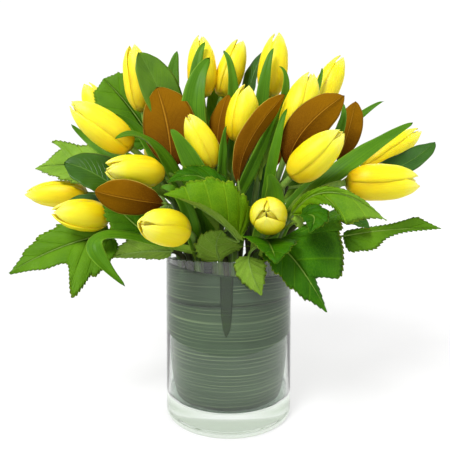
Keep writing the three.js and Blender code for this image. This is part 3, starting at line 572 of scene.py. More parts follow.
def tulip_green_finish(name, dark, light, rough):
    """The waxy green of a tulip's leaf, with veins that run along the blade and a pale rim."""
    material, tree = new_finish(name)
    across, along, place = surface_places(tree)
    veins = noise(tree, (across * 46, along * 1.1, 0), 1, 2)
    rim = (abs(across * 2 - 1) - 0.86).clamp() * 6
    colour = layered(
        tree, dark,
        (veins.over(0.35, 2.2), light),
        (noise(tree, place, 32, 3).over(0.45, 1.6) * 0.5, scaled(light, 1.5)),
        (rim * 0.6, (0.3, 0.5, 0.04)),
        (along.near(4) * 0.7, (0.3, 0.46, 0.05)))
    relief(tree, veins, 0.2, 0.7)
    return finished(material, colour, Roughness=rough, Specular_IOR_Level=0.1)


def stem_finish(name, dark, light, rough, painted_shade_strength=0.75):
    """A stem's skin, streaked along its length, with painted shade that darkens it where the stems crowd
    over the rim.
    """
    material, tree = new_finish(name)
    place = object_place(tree)
    x, y, z = split(tree, place)
    streaks = noise(tree, (x * 900, y * 900, z * 40), 1, 3)
    # painted shade: darker between the rim and the leaves, near the axis, where the stems crowd together
    painted_shade = z.rise(0.262, 0.212) * z.rise(0.14, 0.152) * from_axis(x, y).rise(0.085, 0.055)
    colour = layered(
        tree, dark,
        (streaks.over(0.3, 2), light),
        ((noise(tree, place, 260, 2) - 0.6).clamp() * 2, scaled(dark, 0.6)),
        (painted_shade * painted_shade_strength, scaled(dark, 0.16)))
    relief(tree, streaks, 0.15)
    return finished(material, colour, Roughness=rough, Specular_IOR_Level=0.25)


def magnolia_veins(across, along, gain):
    """How far a place is out from the midrib, and the veins that slant away from it."""
    side = abs(across * 2 - 1)
    return side, (along * 13 - side * 4.5).zigzag().near(gain) * (1 - side)


def magnolia_top_finish():
    """Dark and glossy, and yellower on the left of the bunch, where the light falls."""
    material, tree = new_finish("magnolia_leaf_top")
    across, along, place = surface_places(tree)
    side, vein = magnolia_veins(across, along, 5)
    midrib = side.near(22)
    cloud = noise(tree, place, 60, 3)
    x, _, z = split(tree, place)
    # painted light: yellower on the upper left of the bunch, where the light falls
    sunny = x.rise(0.01, -0.04) * (0.15 + z.rise(0.24, 0.27))
    colour = layered(
        tree, (0.01, 0.05, 0.003),
        (cloud, (0.035, 0.12, 0.006)),
        (sunny * (0.2 + cloud).clamp(), (0.085, 0.19, 0.004)),
        (vein * 0.08, (0.08, 0.2, 0.02)),
        (midrib * 0.5, (0.14, 0.28, 0.03)),
        (side.over(0.95, 20) * 0.6, (0.3, 0.4, 0.05)))
    relief(tree, cloud * 0.6 - vein * 0.5 - midrib, 0.35)
    return finished(material, colour, Roughness=0.35, Specular_IOR_Level=0.22)


def magnolia_felt_finish():
    """Brown felt, lighter towards the tip, with painted shade that darkens its foot, a pale midrib and a
    pale rim.
    """
    material, tree = new_finish("magnolia_leaf_felt")
    across, along, place = surface_places(tree)
    side, vein = magnolia_veins(across, along, 6)
    nap = noise(tree, place, 1500, 2)
    # painted shade: dark at the foot of the leaf, fading out towards the tip
    painted_shade_fade = (along * 1.4 - 0.1 + (noise(tree, place, 45, 3) - 0.5) * 0.5).clamp()
    colour = layered(
        tree, (0.062, 0.018, 0.0),
        (painted_shade_fade, (0.185, 0.08, 0.0)),
        (vein * 0.2, (0.1, 0.035, 0.001)),
        ((nap - 0.5).clamp(), (0.36, 0.17, 0.006)),
        (side.near(34) * 0.8, (0.4, 0.2, 0.015)),
        (abs(side - 0.06).near(30) * 0.5, (0.06, 0.02, 0.001)),
        (side.over(0.95, 24) * 0.85, (0.62, 0.44, 0.06)))
    relief(tree, vein * 0.6 + side.near(16) + nap * 0.35, 0.3)
    return finished(material, colour, Roughness=0.75, Specular_IOR_Level=0.04)


def viburnum_finish(name, dark, light, vein_colour, sunny, rough, raised):
    """A viburnum leaf: side veins that run out to the teeth, a net between them and a pale rim.
    It has painted light: it is paler at the sides of the bunch, where the light comes in."""
    material, tree = new_finish(name)
    out_share, along, place = surface_places(tree)
    side_vein = (along * VEINS).zigzag().near(9)
    fine = (along * VEINS + out_share * 0.12).zigzag()
    rung = (out_share * 15 + fine * 0.8).zigzag().near(7)
    cells = add(tree, "ShaderNodeTexVoronoi", {"Vector": place, "Scale": 420}, feature="DISTANCE_TO_EDGE")
    net = Field(tree, out(cells)).near(7)
    midrib = out_share.near(14)
    cloud = noise(tree, place, 40, 3)
    # painted light: paler on leaves out at the sides of the bunch
    painted_light_share = abs(split(tree, place)[0]).rise(0.075, 0.125)
    colour = layered(
        tree, dark,
        (cloud.over(0.3, 2), light),
        (painted_light_share * (0.2 + cloud).clamp(), sunny),
        (net * 0.16, vein_colour),
        (rung * 0.22, vein_colour),
        (side_vein * 0.45, vein_colour),
        (midrib * 0.6, vein_colour),
        (out_share.over(0.955, 20) * 0.75, (0.34, 0.48, 0.02)))
    height = side_vein + midrib + rung * 0.4 + net * 0.3
    relief(tree, height * (1 if raised else -1) + cloud * 0.5, 0.4)
    return finished(material, colour, Roughness=rough, Specular_IOR_Level=0.07)


def lining_finish(name, dark, light, line_colour):
    """An aspidistra leaf wound round the glass: thin pale veins that run round it, a little unevenly,
    and a painted shadow: a dark line under the edge of the upper leaf."""
    material, tree = new_finish(name)
    around, up, place = surface_places(tree)
    drift = noise(tree, (around * 4, up * 2.5, 0), 1, 1) - 0.5
    climb = up + drift * 0.035 - around * 0.04
    bands = noise(tree, (around * 1.5, climb * 9, 0), 1, 2)
    streaks = noise(tree, (around * 3, climb * 90, 0), 1, 2)
    turns = climb * 46 + noise(tree, (2, climb * 14, 0), 1, 2) * 3
    faint = noise(tree, (around * 5, (turns + 0.5).math("FLOOR") * 1.7, 3), 1, 1)
    line = turns.zigzag().near(4) * faint.over(0.36, 3.5)
    edge = ((around - 0.5) * math.tau - SEAM_TURN).math("SINE") * SEAM_WAVE + LINING_SEAM
    colour = layered(
        tree, dark,
        (bands.over(0.35, 3), light),
        (streaks.over(0.4, 4) * 0.2, scaled(dark, 0.62)),
        (line * 0.6, line_colour),
        ((noise(tree, place, 22, 3) - 0.5).clamp(), scaled(light, 1.3)),
        # painted shadow: a dark line just under the upper leaf's lower edge
        ((1 - abs(up * VASE_HEIGHT - edge) / 1.1).clamp() * 0.55, (0.012, 0.026, 0.014)))
    relief(tree, line, 0.1, 0.3)
    return finished(material, colour, Roughness=0.55, Specular_IOR_Level=0.25)


def glass_finish():
    """Clear glass with a faint smear, greener in its thick bottom, and darkened round its floor by painted
    shade.
    """
    material, tree = new_finish("vase_glass")
    place = object_place(tree)
    x, y, height = split(tree, place)
    radius = from_axis(x, y)
    # painted shade: a dark ring on the glass floor where the lining's foot stands
    ring = radius.rise(0.0598, 0.0593) * radius.rise(0.046, 0.049)
    colour = layered(
        tree, (0.93, 0.97, 0.935),
        (noise(tree, place, 18, 3), (0.96, 0.985, 0.96)),
        (height.rise(0.021, 0.016), (0.66, 0.76, 0.63)),
        (height.rise(0.027, 0.023) * height.rise(0.01, 0.015) * ring, (0.1, 0.15, 0.11)))
    return finished(material, colour, Roughness=0.0, Transmission_Weight=1, IOR=1.5)


def water_finish():
    material, tree = new_finish("vase_water")
    relief(tree, noise(tree, object_place(tree), 60), 0.1, 0.5)
    return finished(material, (0.93, 0.98, 0.94, 1), Transmission_Weight=1, IOR=1.33, Roughness=0.01)


def floor_finish():
    """A white sweep that glows a little, so that it stays pale out to its edge, and glows a little more
    under the vase as painted light.
    """
    material, tree = new_finish("studio_floor")
    place = object_place(tree)
    x, y, _ = split(tree, place)
    distance = from_axis(x, y)
    # painted light: extra glow on the floor under the vase's foot
    under = distance.rise(VASE_RADIUS * MM, VASE_RADIUS * MM - 0.004)
    colour = layered(tree, (0.31, 0.31, 0.31), (noise(tree, place, 3), (0.33, 0.33, 0.33)))
    return finished(
        material, colour, Roughness=0.9, Specular_IOR_Level=0.0, Emission_Color=(1, 1, 1, 1),
        Emission_Strength=distance.rise(0.5, 3) * 0.3 + under * 0.1 + 0.63)


def studio_world():
    """White all round: full strength where it is seen, and softer where it lights the bunch."""
    world = bpy.data.worlds.new("studio")
    world.use_nodes = True
    tree = world.node_tree
    rays = add(tree, "ShaderNodeLightPath").outputs
    seen = Field(tree, rays["Is Camera Ray"]).math("MAXIMUM", rays["Is Transmission Ray"])
    plug(tree, seen.math("MULTIPLY_ADD", 0.45, 0.6), tree.nodes["Background"].inputs["Strength"])
    plug(tree, (1, 1, 1, 1), tree.nodes["Background"].inputs["Color"])
    return world


PETAL = petal_finish()
STAMEN = stamen_finish()
TULIP_SKIN = stem_finish("tulip_stem", (0.12, 0.26, 0.03), (0.26, 0.4, 0.06), 0.45)
TULIP_TOP = tulip_green_finish("tulip_leaf_top", (0.028, 0.11, 0.003), (0.1, 0.235, 0.006), 0.4)
TULIP_UNDER = tulip_green_finish("tulip_leaf_under", (0.07, 0.2, 0.01), (0.15, 0.34, 0.02), 0.5)
BARK = stem_finish("sprig_bark", (0.05, 0.06, 0.012), (0.13, 0.14, 0.035), 0.75)
LEAF_STALK = stem_finish("leaf_stalk", (0.1, 0.2, 0.02), (0.2, 0.32, 0.04), 0.5, painted_shade_strength=0)
MAGNOLIA_TOP = magnolia_top_finish()
MAGNOLIA_FELT = magnolia_felt_finish()
VIBURNUM_TOP = viburnum_finish(
    "viburnum_leaf_top", (0.01, 0.062, 0.0002), (0.04, 0.155, 0.0008), (0.09, 0.24, 0.003),
    (0.105, 0.235, 0.008), 0.45, False)
VIBURNUM_UNDER = viburnum_finish(
    "viburnum_leaf_under", (0.11, 0.22, 0.014), (0.19, 0.32, 0.03), (0.34, 0.48, 0.09),
    (0.2, 0.34, 0.05), 0.6, True)
VIBURNUM_YOUNG = viburnum_finish(
    "viburnum_young_leaf", (0.04, 0.135, 0.0006), (0.14, 0.29, 0.003), (0.22, 0.38, 0.01),
    (0.2, 0.35, 0.04), 0.45, False)
LINING = lining_finish("lining_leaf", (0.042, 0.088, 0.034), (0.085, 0.145, 0.07), (0.42, 0.56, 0.27))
LINING_DARK = lining_finish(
    "lining_leaf_end", (0.007, 0.028, 0.0), (0.016, 0.05, 0.002), (0.08, 0.17, 0.02))
GLASS = glass_finish()
WATER = water_finish()
FLOOR = floor_finish()
scene.world = studio_world()

# Growing a shape by a node tree


def new_tree(name, **sizes):
    """A tree with a named input for each size, and the fields that they give."""
    tree = bpy.data.node_groups.new(name, "GeometryNodeTree")
    tree.interface.new_socket("Shape", in_out="INPUT", socket_type="NodeSocketGeometry")
    tree.interface.new_socket("Shape", in_out="OUTPUT", socket_type="NodeSocketGeometry")
    kinds = {float: "NodeSocketFloat", int: "NodeSocketInt", tuple: "NodeSocketVector"}
    for size, value in sizes.items():
        socket = tree.interface.new_socket(
            size.replace("_", " ").capitalize(), in_out="INPUT", socket_type=kinds[type(value)])
        socket.default_value = value
    given = tree.nodes.new("NodeGroupInput")
    return tree, given.outputs[0], [Field(tree, s) for s in given.outputs[1:-1]]


def geometry(tree, kind, inputs=(), **settings):
    """What a new geometry node gives."""
    return out(add(tree, "GeometryNode" + kind, inputs, **settings))


def store(tree, shape, name, value, kind="FLOAT", domain="POINT"):
    return geometry(tree, "StoreNamedAttribute", {"Geometry": shape, "Name": name, "Value": value},
                    data_type=kind, domain=domain)


def read(tree, name, kind="FLOAT"):
    return Field(tree, geometry(tree, "InputNamedAttribute", {"Name": name}, data_type=kind))


def mapped(tree, shape, across, along):
    """Gives a shape the places across and along it that its finish reads."""
    return store(tree, shape, "UVMap", (across, along, 0), "FLOAT2", "CORNER")


def flat_sheet(tree, columns, rows):
    """A grid that knows its places: across from -1 to 1, and along from 0 at the foot to 1 at the tip."""
    grid = geometry(tree, "MeshGrid", {
        "Size X": 2.0, "Size Y": 1.0, "Vertices X": columns, "Vertices Y": rows})
    x, y, _ = split(tree, geometry(tree, "InputPosition"))
    return store(tree, store(tree, grid, "across", x), "along", y + 0.5)


def moved(tree, shape, place):
    return geometry(tree, "SetPosition", {"Geometry": shape, "Position": place})


def raised(tree, shape, height, stretch=1.0):
    """A shape moved up, and made taller first."""
    return geometry(tree, "Transform", {
        "Geometry": shape, "Translation": (0, 0, height), "Scale": (1.0, 1.0, stretch)})


def painted(tree, shape, material, where=True):
    return geometry(tree, "SetMaterial", {"Geometry": shape, "Material": material, "Selection": where})


def joined(tree, *shapes):
    node = tree.nodes.new("GeometryNodeJoinGeometry")
    for shape in shapes:
        tree.links.new(shape, node.inputs[0])
    return out(node)


def realized(tree, shape):
    return geometry(tree, "RealizeInstances", {"Geometry": shape})


def finish_tree(tree, shape):
    smooth = geometry(tree, "SetShadeSmooth", {"Geometry": shape})
    tree.links.new(smooth, tree.nodes.new("NodeGroupOutput").inputs[0])
    return tree


def grown(tree, start, sizes, wall=0.0):
    """The plain mesh that a tree makes from a curve, or from nothing, with these sizes."""
    seedling = placed(tree.name, start or bpy.data.meshes.new("nothing"))
    modifier = seedling.modifiers.new(tree.name, "NODES")
    modifier.node_group = tree
    for item in tree.interface.items_tree:
        if item.in_out == "INPUT" and item.name in sizes:
            modifier[item.identifier] = sizes[item.name]
    if wall:
        thick = seedling.modifiers.new("wall", "SOLIDIFY")
        thick.thickness = wall
        thick.offset = -1
    bpy.context.view_layer.update()
    graph = bpy.context.evaluated_depsgraph_get()
    mesh = bpy.data.meshes.new_from_object(seedling.evaluated_get(graph))
    bpy.data.objects.remove(seedling)
    return mesh


def curve_data(runs):
    """A curve with one line of points for each run of (points, radii)."""
    data = bpy.data.curves.new("runs", "CURVE")
    data.dimensions = "3D"
    for points, radii in runs:
        spline = data.splines.new("POLY")
        spline.points.add(len(points) - 1)
        rows = np.c_[np.asarray(points) * MM, np.ones(len(points))]
        spline.points.foreach_set("co", rows.ravel())
        spline.points.foreach_set("radius", np.asarray(radii, float) * MM)
    return data


def rod_tree(name, material):
    """A round rod along every line of the curve, as thick as its points say."""
    tree, lines, (sides,) = new_tree(name, sides=14)
    ring = geometry(tree, "CurvePrimitiveCircle", {"Resolution": sides, "Radius": 1.0})
    rod = geometry(tree, "CurveToMesh", {
        "Curve": store(tree, lines, "along", geometry(tree, "SplineParameter")), "Profile Curve": ring,
        "Fill Caps": True, "Scale": geometry(tree, "InputRadius"),
    })
    shape = mapped(tree, rod, 0.5, read(tree, "along"))
    return finish_tree(tree, painted(tree, realized(tree, shape), material))


def blade_tree(name, profile, top, under):
    """A leaf blade along a midrib: folded along the middle, waved at its edges and thin at its rim."""
    tree, midrib, fields = new_tree(
        name, half_width=0.01, face=(0.0, -1.0, 0.0), fold=0.25, clasp=0.6, wave=0.001,
        thickness=0.001, seed=0.0)
    half_width, face, fold, clasp, wave, thickness, seed = fields
    sheet = flat_sheet(tree, 15, 41)
    across, along = read(tree, "across"), read(tree, "along")
    sheet = mapped(tree, sheet, across * 0.5 + 0.5, along)
    line = add(tree, "GeometryNodeSampleCurve", {"Curves": midrib, "Factor": along})
    at, onward = out(line, "Position"), out(line, "Tangent")
    overlap = add(tree, "ShaderNodeVectorMath", {0: face, 1: onward}, operation="DOT_PRODUCT")
    onward_share = vector_math(tree, "SCALE", onward, overlap.outputs["Value"])
    facing = vector_math(tree, "NORMALIZE", vector_math(tree, "SUBTRACT", face, onward_share))
    sideways = vector_math(tree, "CROSS_PRODUCT", onward, facing)
    angle = fold + clasp * along.near(5)
    width = across * half_width * along.line(profile)
    spread = abs(across)
    ripple = noise(tree, (across * 0.7, along * 3.4, seed), 1, 1) - 0.5
    bow = noise(tree, (5.5, along * 1.6, seed), 1, 1) - 0.5
    lift = abs(width) * angle.math("SINE") + wave * (ripple * spread ** 1.6 * 3 + bow * along)
    full = 1 - (along * 2 - 1) ** 12
    body = thickness * (1 - spread ** 4) * full
    rib = thickness * 0.9 * spread.near(9) * full
    sheets = []
    for depth, is_under in ((body * 0.5, False), (body * -0.5 - rib, True)):
        place = vector_math(tree, "ADD", at, vector_math(tree, "SCALE", facing, lift + depth))
        outward = vector_math(tree, "SCALE", sideways, width * angle.math("COSINE"))
        shape = moved(tree, sheet, vector_math(tree, "ADD", place, outward))
        shape = store(tree, shape, "under", is_under, "BOOLEAN", "FACE")
        sheets.append(geometry(tree, "FlipFaces", {"Mesh": shape}) if is_under else shape)
    shape = geometry(tree, "MergeByDistance", {"Geometry": joined(tree, *sheets), "Distance": WELD})
    shape = painted(tree, realized(tree, shape), top)
    return finish_tree(tree, painted(tree, shape, under, read(tree, "under", "BOOLEAN")))


# A petal's distance from the flower's axis, and its half width as a share of its widest, from foot to tip.
PETAL_RADIUS = [(0, 0.2), (0.1, 0.7), (0.34, 1), (0.64, 0.9), (0.85, 0.59), (0.95, 0.32), (1, 0.12)]
PETAL_HALF = [
    (0, 0.75), (0.12, 0.95), (0.36, 1), (0.66, 0.98), (0.84, 0.88), (0.93, 0.7), (0.98, 0.44), (1, 0.15),
]
# How far round the flower a petal's edge reaches from its middle, and how thick a petal is in metres.
PETAL_REACH = math.radians(66)
PETAL_THICK = 0.0006


def bloom_tree():
    """A tulip: three outer petals wrapped over three inner ones."""
    tree, _, fields = new_tree(
        "tulip_bloom", length=0.06, width=0.03, opening=0.2, turn=0.0, step=0.0013,
        ripple=0.0008, seed=0)
    length, width, opening, turn, step, ripple, seed = fields
    petals = geometry(tree, "InstanceOnPoints", {
        "Points": geometry(tree, "Points", {"Count": 6}), "Instance": flat_sheet(tree, 13, 23)})
    number = geometry(tree, "InputIndex")
    shape = realized(tree, store(tree, petals, "petal", number, "FLOAT", "INSTANCE"))
    across, along, petal = (read(tree, name) for name in ("across", "along", "petal"))
    chance = [
        Field(tree, out(add(tree, "FunctionNodeRandomValue", {
            "Min": -1.0, "Max": 1.0, "ID": petal, "Seed": seed * 7 + k})))
        for k in range(3)
    ]
    inner = petal.math("MODULO", 2)
    spread = abs(across)
    late = (along - 0.45).math("MAXIMUM", 0)
    parted = opening * (1 - inner * 0.5) * (0.42 + chance[0] * 0.3)
    reach = along.line(PETAL_RADIUS) + late ** 1.5 * parted
    radius = width * 0.5 * (reach * (1 - spread ** 2 * 0.07) + 0.03)
    tucked = late ** 2 * width * 0.16 * opening.near(0.5)
    radius = radius - inner * (step * (along * 8).clamp() + tucked)
    closed = along.over(0.72, 3.7) ** 2 * inner * opening.near(1.3)
    radius = radius * (1 - closed * 0.95) + across * 0.00045 * (along * 4).clamp()
    wave = noise(tree, (across * 1.1, along * 3, petal * 3.1 + seed), 1, 1) - 0.5
    radius = (radius + ripple * wave * (spread ** 2 * 2 + 0.6) * along * 2).math("MAXIMUM", width * 0.02)
    half = along.line(PETAL_HALF)
    half = half + (1.1 - half) * closed
    angle = petal * (math.pi / 3) + turn + across * half * PETAL_REACH + chance[1] * 0.09 * along
    height = along * length * (1 - inner * 0.025 + chance[2] * 0.015) - spread ** 2 * late * length * 0.05
    shape = moved(tree, shape, (radius * angle.math("COSINE"), radius * angle.math("SINE"), height))
    shape = mapped(tree, shape, across * 0.5 + 0.5, along)
    return finish_tree(tree, painted(tree, realized(tree, shape), PETAL))


def stamen_tree():
    """A tulip's pistil, and six stamens in a ring round it."""
    tree, _, (length, width) = new_tree("tulip_stamens", length=0.06, width=0.03)
    ring = geometry(tree, "MeshCircle", {"Vertices": 6, "Radius": width * 0.13})
    stalk = geometry(tree, "MeshCylinder", {"Vertices": 7, "Radius": 0.0006, "Depth": length * 0.26})
    anther = geometry(tree, "MeshIcoSphere", {"Radius": 0.0014, "Subdivisions": 2})
    one = joined(tree, stalk, raised(tree, anther, length * 0.2, 4.0))
    many = geometry(tree, "InstanceOnPoints", {"Points": ring, "Instance": one})
    pistil = geometry(tree, "MeshCone", {
        "Vertices": 12, "Radius Top": width * 0.09, "Radius Bottom": width * 0.06,
        "Depth": length * 0.4})
    shape = joined(tree, raised(tree, many, length * 0.2), raised(tree, pistil, length * 0.02))
    return finish_tree(tree, painted(tree, realized(tree, shape), STAMEN))


# The half width of a blade from its foot to its tip, as a share of its widest.
TULIP_PROFILE = [(0, 0.62), (0.12, 0.82), (0.4, 1), (0.7, 0.78), (0.9, 0.42), (0.97, 0.22), (1, 0)]
MAGNOLIA_PROFILE = [(0, 0.02), (0.08, 0.36), (0.25, 0.78), (0.5, 1), (0.75, 0.86), (0.92, 0.45), (1, 0)]

TULIP_ROD = rod_tree("tulip_stem_rod", TULIP_SKIN)
BARK_ROD = rod_tree("sprig_stem_rod", BARK)
STALK_ROD = rod_tree("leaf_stalk_rod", LEAF_STALK)
TULIP_BLADE = blade_tree("tulip_leaf_blade", TULIP_PROFILE, TULIP_TOP, TULIP_UNDER)
MAGNOLIA_BLADE = blade_tree("magnolia_leaf_blade", MAGNOLIA_PROFILE, MAGNOLIA_TOP, MAGNOLIA_FELT)
BLOOM = bloom_tree()
STAMENS = stamen_tree()

# Where the stems stand and how they bend


def rim_places(ends, radii):
    """Spreads the stems over the rim: each leans the way its end lies, and they push each other apart."""
    places = []
    for x, y, z in ends:
        fanned = math.hypot(x, y) * (VASE_HEIGHT + FAN_DEPTH) / (z + FAN_DEPTH)
        radius = RIM_RADIUS * math.tanh(fanned / RIM_RADIUS)
        places.append(complex(x, y) * radius / max(math.hypot(x, y), 1))
    for _ in range(ROUNDS):
        for i in range(len(places)):
            for j in range(i):
                apart = places[i] - places[j]
                need = radii[i] + radii[j] + CLEARANCE - abs(apart)
                if need > 0:
                    push = apart / abs(apart) * need / 2
                    places[i] += push
                    places[j] -= push
        limits = [RIM_RADIUS + RIM_SLACK - r for r in radii]
        places = [p * min(1, most / abs(p)) for p, most in zip(places, limits)]
    return places


class StemPath:
    """A stem: straight from the vase's floor to the rim, then bent over to its end."""

    def __init__(self, place, end, direction):
        low = place * FOOT_SCALE * cmath.rect(1, TWIST)
        self.foot = np.array([low.real, low.imag, VASE_FLOOR + GAP])
        rim = np.array([place.real, place.imag, VASE_HEIGHT - RIM_DROP])
        span = np.linalg.norm(rim - end) * STRAIGHT_ON
        self.bend = [rim, rim + unit(rim - self.foot) * span, end - direction * span, end]

    def above(self, share):
        return bezier(self.bend, share)[0]

    def run(self, foot_radius, end_radius):
        points = np.vstack([self.foot, bezier(self.bend, shares(22))])
        return points, np.linspace(foot_radius, end_radius, len(points))


def midrib_corners(foot, via, tip):
    foot, via, tip = (np.asarray(p, float) for p in (foot, via, tip))
    return foot, 2 * via - (foot + tip) / 2, tip


def blade_mesh(tree, foot, leaf, sizes):
    line = bezier(midrib_corners(foot, leaf.via, leaf.tip), shares(28))
    return grown(tree, curve_data([(line, np.ones(len(line)))]), {
        "Half width": leaf.width / 2 * MM, "Face": Vector(leaf.face), **sizes})


# Viburnum leaves and lining leaves

# The younger, yellower leaves, by their sprig and their place in its list.
YOUNG_LEAVES = {("left_back", 0), ("centre_front", 1), ("right", 0)}


def smooth_line(corners, per_side=8):
    """A line that passes smoothly through the corners."""
    c = np.vstack([2 * corners[0] - corners[1], corners, 2 * corners[-1] - corners[-2]])
    t = np.linspace(0, 1, per_side, endpoint=False)[:, None]
    parts = []
    for a, b, d, e in zip(c, c[1:], c[2:], c[3:]):
        parts.append(0.5 * (2 * b + (d - a) * t + (2 * a - 5 * b + 4 * d - e) * t**2
                            + (3 * b - a - 3 * d + e) * t**3))
    return np.vstack([*parts, corners[-1:]])


def toothed_outline(outline, half_width, length):
    """Half of a leaf's edge in millimetres, cut into forward-pointing teeth, and the place of its veins."""
    corners = np.array([(0, 0), *outline, (1, 0)]) * (length, half_width)
    line = smooth_line(corners)
    steps = np.r_[0, np.cumsum(np.linalg.norm(np.diff(line, axis=0), axis=1))]
    teeth = max(6, round(steps[-1] / TOOTH))
    phase = np.append(np.tile(TOOTH_STEPS[:-1], teeth), 0)
    share = np.append((np.repeat(np.arange(teeth), 4) + phase[:-1]) / teeth, 1)
    even = np.c_[[np.interp(share * steps[-1], steps, line[:, k]) for k in (0, 1)]].T
    onward = unit(np.gradient(even, axis=0))
    outward = np.c_[-onward[:, 1], onward[:, 0]]
    cut = (np.interp(phase, TOOTH_STEPS, TOOTH_HEIGHTS) * np.sin(np.pi * share) ** 0.3)[:, None]
    tooth = (outward * cut + onward * cut * 0.5) * min(TOOTH_DEPTH, half_width * 0.09)
    root = np.maximum.accumulate(np.clip(even[:, 0] / length - VEIN_SLANT * even[:, 1] / half_width, 0, 1))
    root = (root + 0.04 * share) / (root[-1] + 0.04)
    return even, tooth, root, share


def viburnum_half(leaf, half, seed, top):
    """One half of a viburnum leaf, quilted between its side veins."""
    outline, half_width = leaf.halves[half]
    corners = midrib_corners(leaf.foot, leaf.via, leaf.tip)
    length = np.linalg.norm(np.diff(bezier(corners, shares(40)), axis=0), axis=1).sum()
    edge, tooth, root, share = toothed_outline(outline, half_width, length)
    out_share = shares(9)[None, :, None]
    base = np.c_[root * length, np.zeros(len(root))][:, None, :]
    flat = base + (edge[:, None, :] - base) * out_share + tooth[:, None, :] * out_share**8
    q = np.broadcast_to(out_share[..., 0], flat.shape[:2])
    share = share[:, None]
    s, w = flat[..., 0].ravel() / length, flat[..., 1].ravel()
    held = np.clip(s, 0, 1)
    later = held[:, None]
    onward = unit((1 - later) * (corners[1] - corners[0]) + later * (corners[2] - corners[1]))
    at = bezier(corners, held) + onward * ((s - held) * length)[:, None]
    face = np.asarray(leaf.face, float)
    face = unit(face - onward * (onward @ face)[:, None])
    sideways = np.cross(onward, face) * (1 if half == 0 else -1)
    fold = leaf.folds[half]
    outward = sideways * math.cos(fold) + face * math.sin(fold)
    upward = face * math.cos(fold) - sideways * math.sin(fold)
    vein = np.abs((share * VEINS + 0.5) % 1 - 0.5) * 2
    puff = QUILTING * np.sin(np.pi * q ** 0.8) * np.sin(np.pi * vein / 2)
    turn, twist = np.random.default_rng(seed).uniform(0, 6.3, 2)
    sway = 1.5 * q**1.5 * np.sin(share * 9 + turn) + 1.2 * q * np.sin(share * 4 + twist)
    droop = 0.004 * w**2 * min(1, 20 / half_width)
    lift = (puff + sway * min(1, half_width / 24)).ravel() - droop
    points = (at + outward * w[:, None] + upward * lift[:, None]).reshape(*q.shape, 3)
    uv = np.dstack([q, np.broadcast_to(share, q.shape)])
    body = VIBURNUM_THICK * np.sin(np.pi * q) ** 0.4 * np.sin(np.pi * share) ** 0.15
    return two_faced(points, body, uv, top, VIBURNUM_UNDER, flip=half == 1)


def two_faced(points, body, uv, top, under, flip=False):
    """A closed thin mesh round a grid of points: as thick as body says, with a finish for each face."""
    rows, columns = points.shape[:2]
    normal = unit(np.cross(np.gradient(points, axis=0), np.gradient(points, axis=1)) + 1e-12)
    number = np.arange(rows * columns).reshape(rows, columns)
    quads = np.stack([number[:-1, :-1], number[1:, :-1], number[1:, 1:], number[:-1, 1:]], -1).reshape(-1, 4)
    turned = quads[:, ::-1]
    normal, first, second = (normal, quads, turned) if flip else (-normal, turned, quads)
    faces = np.vstack([first, second + rows * columns])
    half = normal * body[..., None] / 2
    everything = np.vstack([(points + half).reshape(-1, 3), (points - half).reshape(-1, 3)])
    mesh = bpy.data.meshes.new("sheet")
    mesh.from_pydata(everything * MM, [], faces.tolist())
    layer = mesh.uv_layers.new(name="UVMap")
    layer.data.foreach_set("uv", uv.reshape(-1, 2)[(faces % (rows * columns)).ravel()].ravel())
    mesh.materials.append(top)
    mesh.materials.append(under)
    mesh.polygons.foreach_set("material_index", np.repeat([0, 1], len(quads)))
    mesh.polygons.foreach_set("use_smooth", np.ones(len(faces), bool))
    cleaned = bmesh.new()
    cleaned.from_mesh(mesh)
    bmesh.ops.remove_doubles(cleaned, verts=cleaned.verts, dist=WELD)
    bmesh.ops.dissolve_degenerate(cleaned, edges=cleaned.edges, dist=1e-7)
    cleaned.to_mesh(mesh)
    cleaned.free()
    return mesh


def thinned(share, gain):
    """1 in the middle of a sheet, and down to 0 at both of its ends."""
    return np.minimum(1, gain * np.minimum(share, 1 - share))


def seam_height(angle):
    """The height of the upper lining leaf's lower edge, at an angle from the front."""
    return LINING_SEAM + GAP + SEAM_WAVE * np.sin(angle - SEAM_TURN)


def lower_levels(angle):
    """The heights that the lower leaf passes on its way up the glass and in behind the upper one."""
    seam = seam_height(angle)
    return [VASE_FLOOR + GAP, *(height for height, _ in LOWER_LINING[1:-1]),
            WET_HEIGHT - WET_DIP * np.cos(angle) ** 2, seam - 0.4, seam + 0.5, LINING_SEAM + LINING_LAP]


def upper_levels(angle):
    """The heights of the upper leaf's lower and upper edge."""
    rise = (0.5 - 0.5 * np.sin(angle)) ** 2
    return [seam_height(angle), LINING_TOP_LOW + (LINING_TOP_HIGH - LINING_TOP_LOW) * rise]


def lining_sheet(left, right, levels, radii, seed):
    """A leaf wound once round the inside of the glass, between two angles in degrees from the front.
    The radii are its outside at each of the heights that levels gives."""
    around = shares(150)[None, :]
    angle = np.linspace(math.radians(left), math.radians(right), 150)[None, :]
    rows = np.array([level + 0 * angle[0] for level in levels(angle[0])])
    step = np.linspace(0, len(rows) - 1, 6 * (len(rows) - 1) + 1)
    low = np.minimum(step.astype(int), len(rows) - 2)
    height = rows[low] + (rows[low + 1] - rows[low]) * (step - low)[:, None]
    outer = np.interp(step, range(len(radii)), radii)[:, None]
    turn, twist = np.random.default_rng(seed).uniform(0, 6.3, 2)
    buckle = 0.25 * np.sin(angle * 5 + turn + height * 0.02) + 0.2 * np.sin(angle * 11 + twist)
    loose = np.clip((CLINGING - INTO_WALL - outer) / 1.5, 0, 1)
    up = step[:, None] / step[-1]
    body = LINING_THICK * np.minimum(1, 12 * np.minimum(up, 1 - up) + 0.1) * thinned(around, 40)
    body = np.where((up == 0) | (up == 1), 0, body)
    radius = outer - body / 2 + buckle * loose
    points = np.dstack([radius * np.sin(angle), -radius * np.cos(angle), height])
    uv = np.dstack([angle / (2 * np.pi) + 0.5 + 0 * height, height / VASE_HEIGHT])
    return two_faced(points, body, uv, LINING, LINING)


